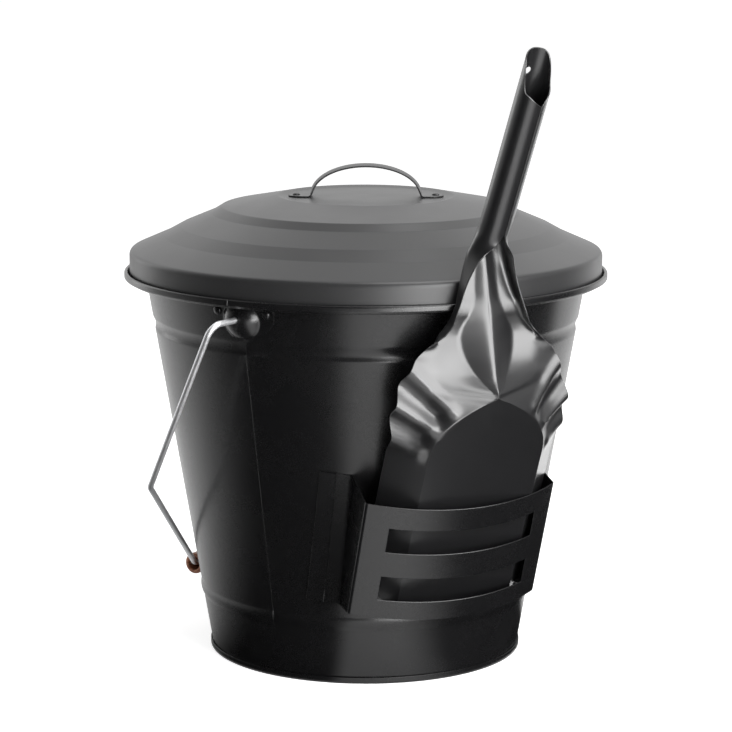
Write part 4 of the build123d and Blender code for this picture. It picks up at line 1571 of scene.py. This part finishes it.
@dataclass
class Studio:
    """Pale floor, white surroundings, softboxes and the camera at the photograph's place."""

    facing: float = -57.7
    distance: float = 2.141
    height: float = 0.6086
    pitch: float = 10.346
    roll: float = 0.1645
    lens: float = 139.23
    sensor: float = 36.0
    picture: float = 732.0
    principal: float = 365.57
    lamps: Tuple[Softbox, ...] = (
        Softbox("key", 41.0, 13.0, 1.6, 1.3, 1.25, 43.0),
        Softbox("low", 22.0, -2.0, 1.6, 0.8, 0.26, 4.6),
        Softbox("fill", 88.0, 20.0, 1.7, 0.8, 1.0, 1.0),
        Softbox("backlight", 180.0, 44.0, 1.9, 2.4, 1.0, 4.6),
        Softbox("top", 72.0, 68.0, 1.9, 1.4, 1.3, 30.0),
        Softbox("left_edge", -128.0, 14.0, 1.8, 0.7, 1.5, 4.0),
        Softbox("right_edge", 140.0, 2.0, 1.8, 0.7, 0.7, 1.0),
    )
    # Bearings where a cloth starts and ends, and over how many degrees each end thins out.
    drapes: Table = ((-125.0, 23.0, 60.0, 9.0), (66.0, 118.0, 9.0, 9.0))
    floor_cloths: Table = ((-122.0, -6.0, 64.0, 9.0), (14.0, 118.0, 26.0, 9.0))
    cloth_reach: float = 2.6
    cloth_start: float = 0.121
    cloth_lift: float = 0.0012
    floor_half: float = 30.0
    floor_glow: float = 0.74
    daylight: float = 0.35

    def camera(self) -> None:
        """Sets the camera: right, up and back axes from its bearing, its pitch and its small roll."""
        turn, pitch, roll = np.radians((self.facing, self.pitch, self.roll))
        ahead = np.array([-np.sin(turn) * np.cos(pitch), np.cos(turn) * np.cos(pitch), -np.sin(pitch)])
        right = np.array([np.cos(turn), np.sin(turn), 0.0])
        up = np.cross(right, ahead)
        right, up = np.cos(roll) * right + np.sin(roll) * up, np.cos(roll) * up - np.sin(roll) * right
        lens = bpy.data.cameras.new("view")
        shift = (self.picture / 2 - self.principal) / self.picture
        arranged(lens, lens=self.lens, sensor_width=self.sensor, shift_x=shift, clip_start=0.05)
        matrix = Matrix(np.stack([right, up, -ahead], axis=1).tolist()).to_4x4()
        place = (self.distance * np.sin(turn), -self.distance * np.cos(turn), self.height)
        matrix.translation = Vector(place)
        bpy.context.scene.camera = arranged(set_up("view", lens), matrix_world=matrix)

    def floor(self) -> None:
        """Lays a large pale floor that keeps the bucket's shadow."""
        side = np.array([-self.floor_half, self.floor_half])
        floor = set_out("floor", lattice(spread(side[None, :], side[:, None], 0.0)))
        bench = Bench(bpy.data.materials.new("pale_floor"))
        seen, mirrored = bench.rays()
        glow = (seen + mirrored * 0.5) * self.floor_glow
        grain = bench.noise(bench.place(), 3.0)
        pale = bench.finish(
            Base_Color=bench.tinted(grain, (0.80, 0.80, 0.80), (0.82, 0.82, 0.82)),
            Roughness=0.9,
            Specular_IOR_Level=0.0,
            Emission_Color=bench.tinted(glow, (0.0, 0.0, 0.0), (1.0, 1.0, 1.0)),
            Emission_Strength=1.0,
        )
        floor.data.materials.append(pale)

    def cloths(self) -> None:
        """Hangs black cloth in front, and lays it on the floor there, seen in reflections only.

        Each cloth spans a range of bearings from the camera. The standing one is part of a ball,
        and the lying one is a flat ring from the bucket's foot outward.
        """
        bench = Bench(bpy.data.materials.new("black_cloth"))
        veil = Reading(bench, bench.node("ShaderNodeSeparateXYZ", {}, {"Vector": bench.lay()}).outputs[0])
        cover = veil.between(0.0, 1.0)
        cloth = bench.finish(
            Base_Color=(0.004, 0.004, 0.004), Roughness=1.0, Specular_IOR_Level=0.0, Alpha=cover
        )
        lift = np.radians(np.linspace(0.2, 76.0, 13))[:, None]
        ball = (self.cloth_reach * np.cos(lift), self.cloth_reach * np.sin(lift))
        ring = (np.linspace(self.cloth_start, self.cloth_reach, 4)[:, None], self.cloth_lift)
        cloths = [(ball, ends) for ends in self.drapes] + [(ring, ends) for ends in self.floor_cloths]
        for index, ((radius, height), (first, last, begin, finish)) in enumerate(cloths):
            bearing = np.linspace(first, last, 60)
            points = around(radius, np.radians(self.facing + bearing - 90.0), height)
            hem = np.minimum((bearing - first) / begin, (last - bearing) / finish)
            lay = np.broadcast_to(spread(hem, 0.0, 0.0), points.shape)
            drape = set_out(f"cloth_{index}", lattice(points, lay=lay))
            drape.data.materials.append(cloth)
            for ray in ("camera", "diffuse", "shadow", "transmission"):
                setattr(drape, f"visible_{ray}", False)

    def surroundings(self) -> None:
        """White to the camera and in reflections, and a soft grey light for everything else."""
        world = bpy.data.worlds.new("white_room")
        bench = Bench(world, "Background", "OutputWorld")
        seen, mirrored = bench.rays()
        strength = seen.larger(mirrored) * (1.0 - self.daylight) + self.daylight
        bpy.context.scene.world = bench.finish(Color=(1.0, 1.0, 1.0), Strength=strength)

    def build(self) -> None:
        """Sets the whole studio."""
        self.camera()
        self.floor()
        self.cloths()
        self.surroundings()
        for lamp in self.lamps:
            lamp.build(self.facing)
        bpy.context.scene.view_settings.view_transform = "Standard"
        log.info("studio: %d lamps", len(self.lamps))


def main() -> None:
    """Loads the frame and builds every piece in order."""
    logging.basicConfig(level=logging.INFO, format="%(name)s %(message)s")
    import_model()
    Studio().build()
    shop = Workshop()
    shell = Shell()
    for assembly in (shell, Foot(), Ears(shell), Bail(), Lid(), Holder(shell), Shovel()):
        assembly.build(shop)


if __name__ == "__main__":
    main()
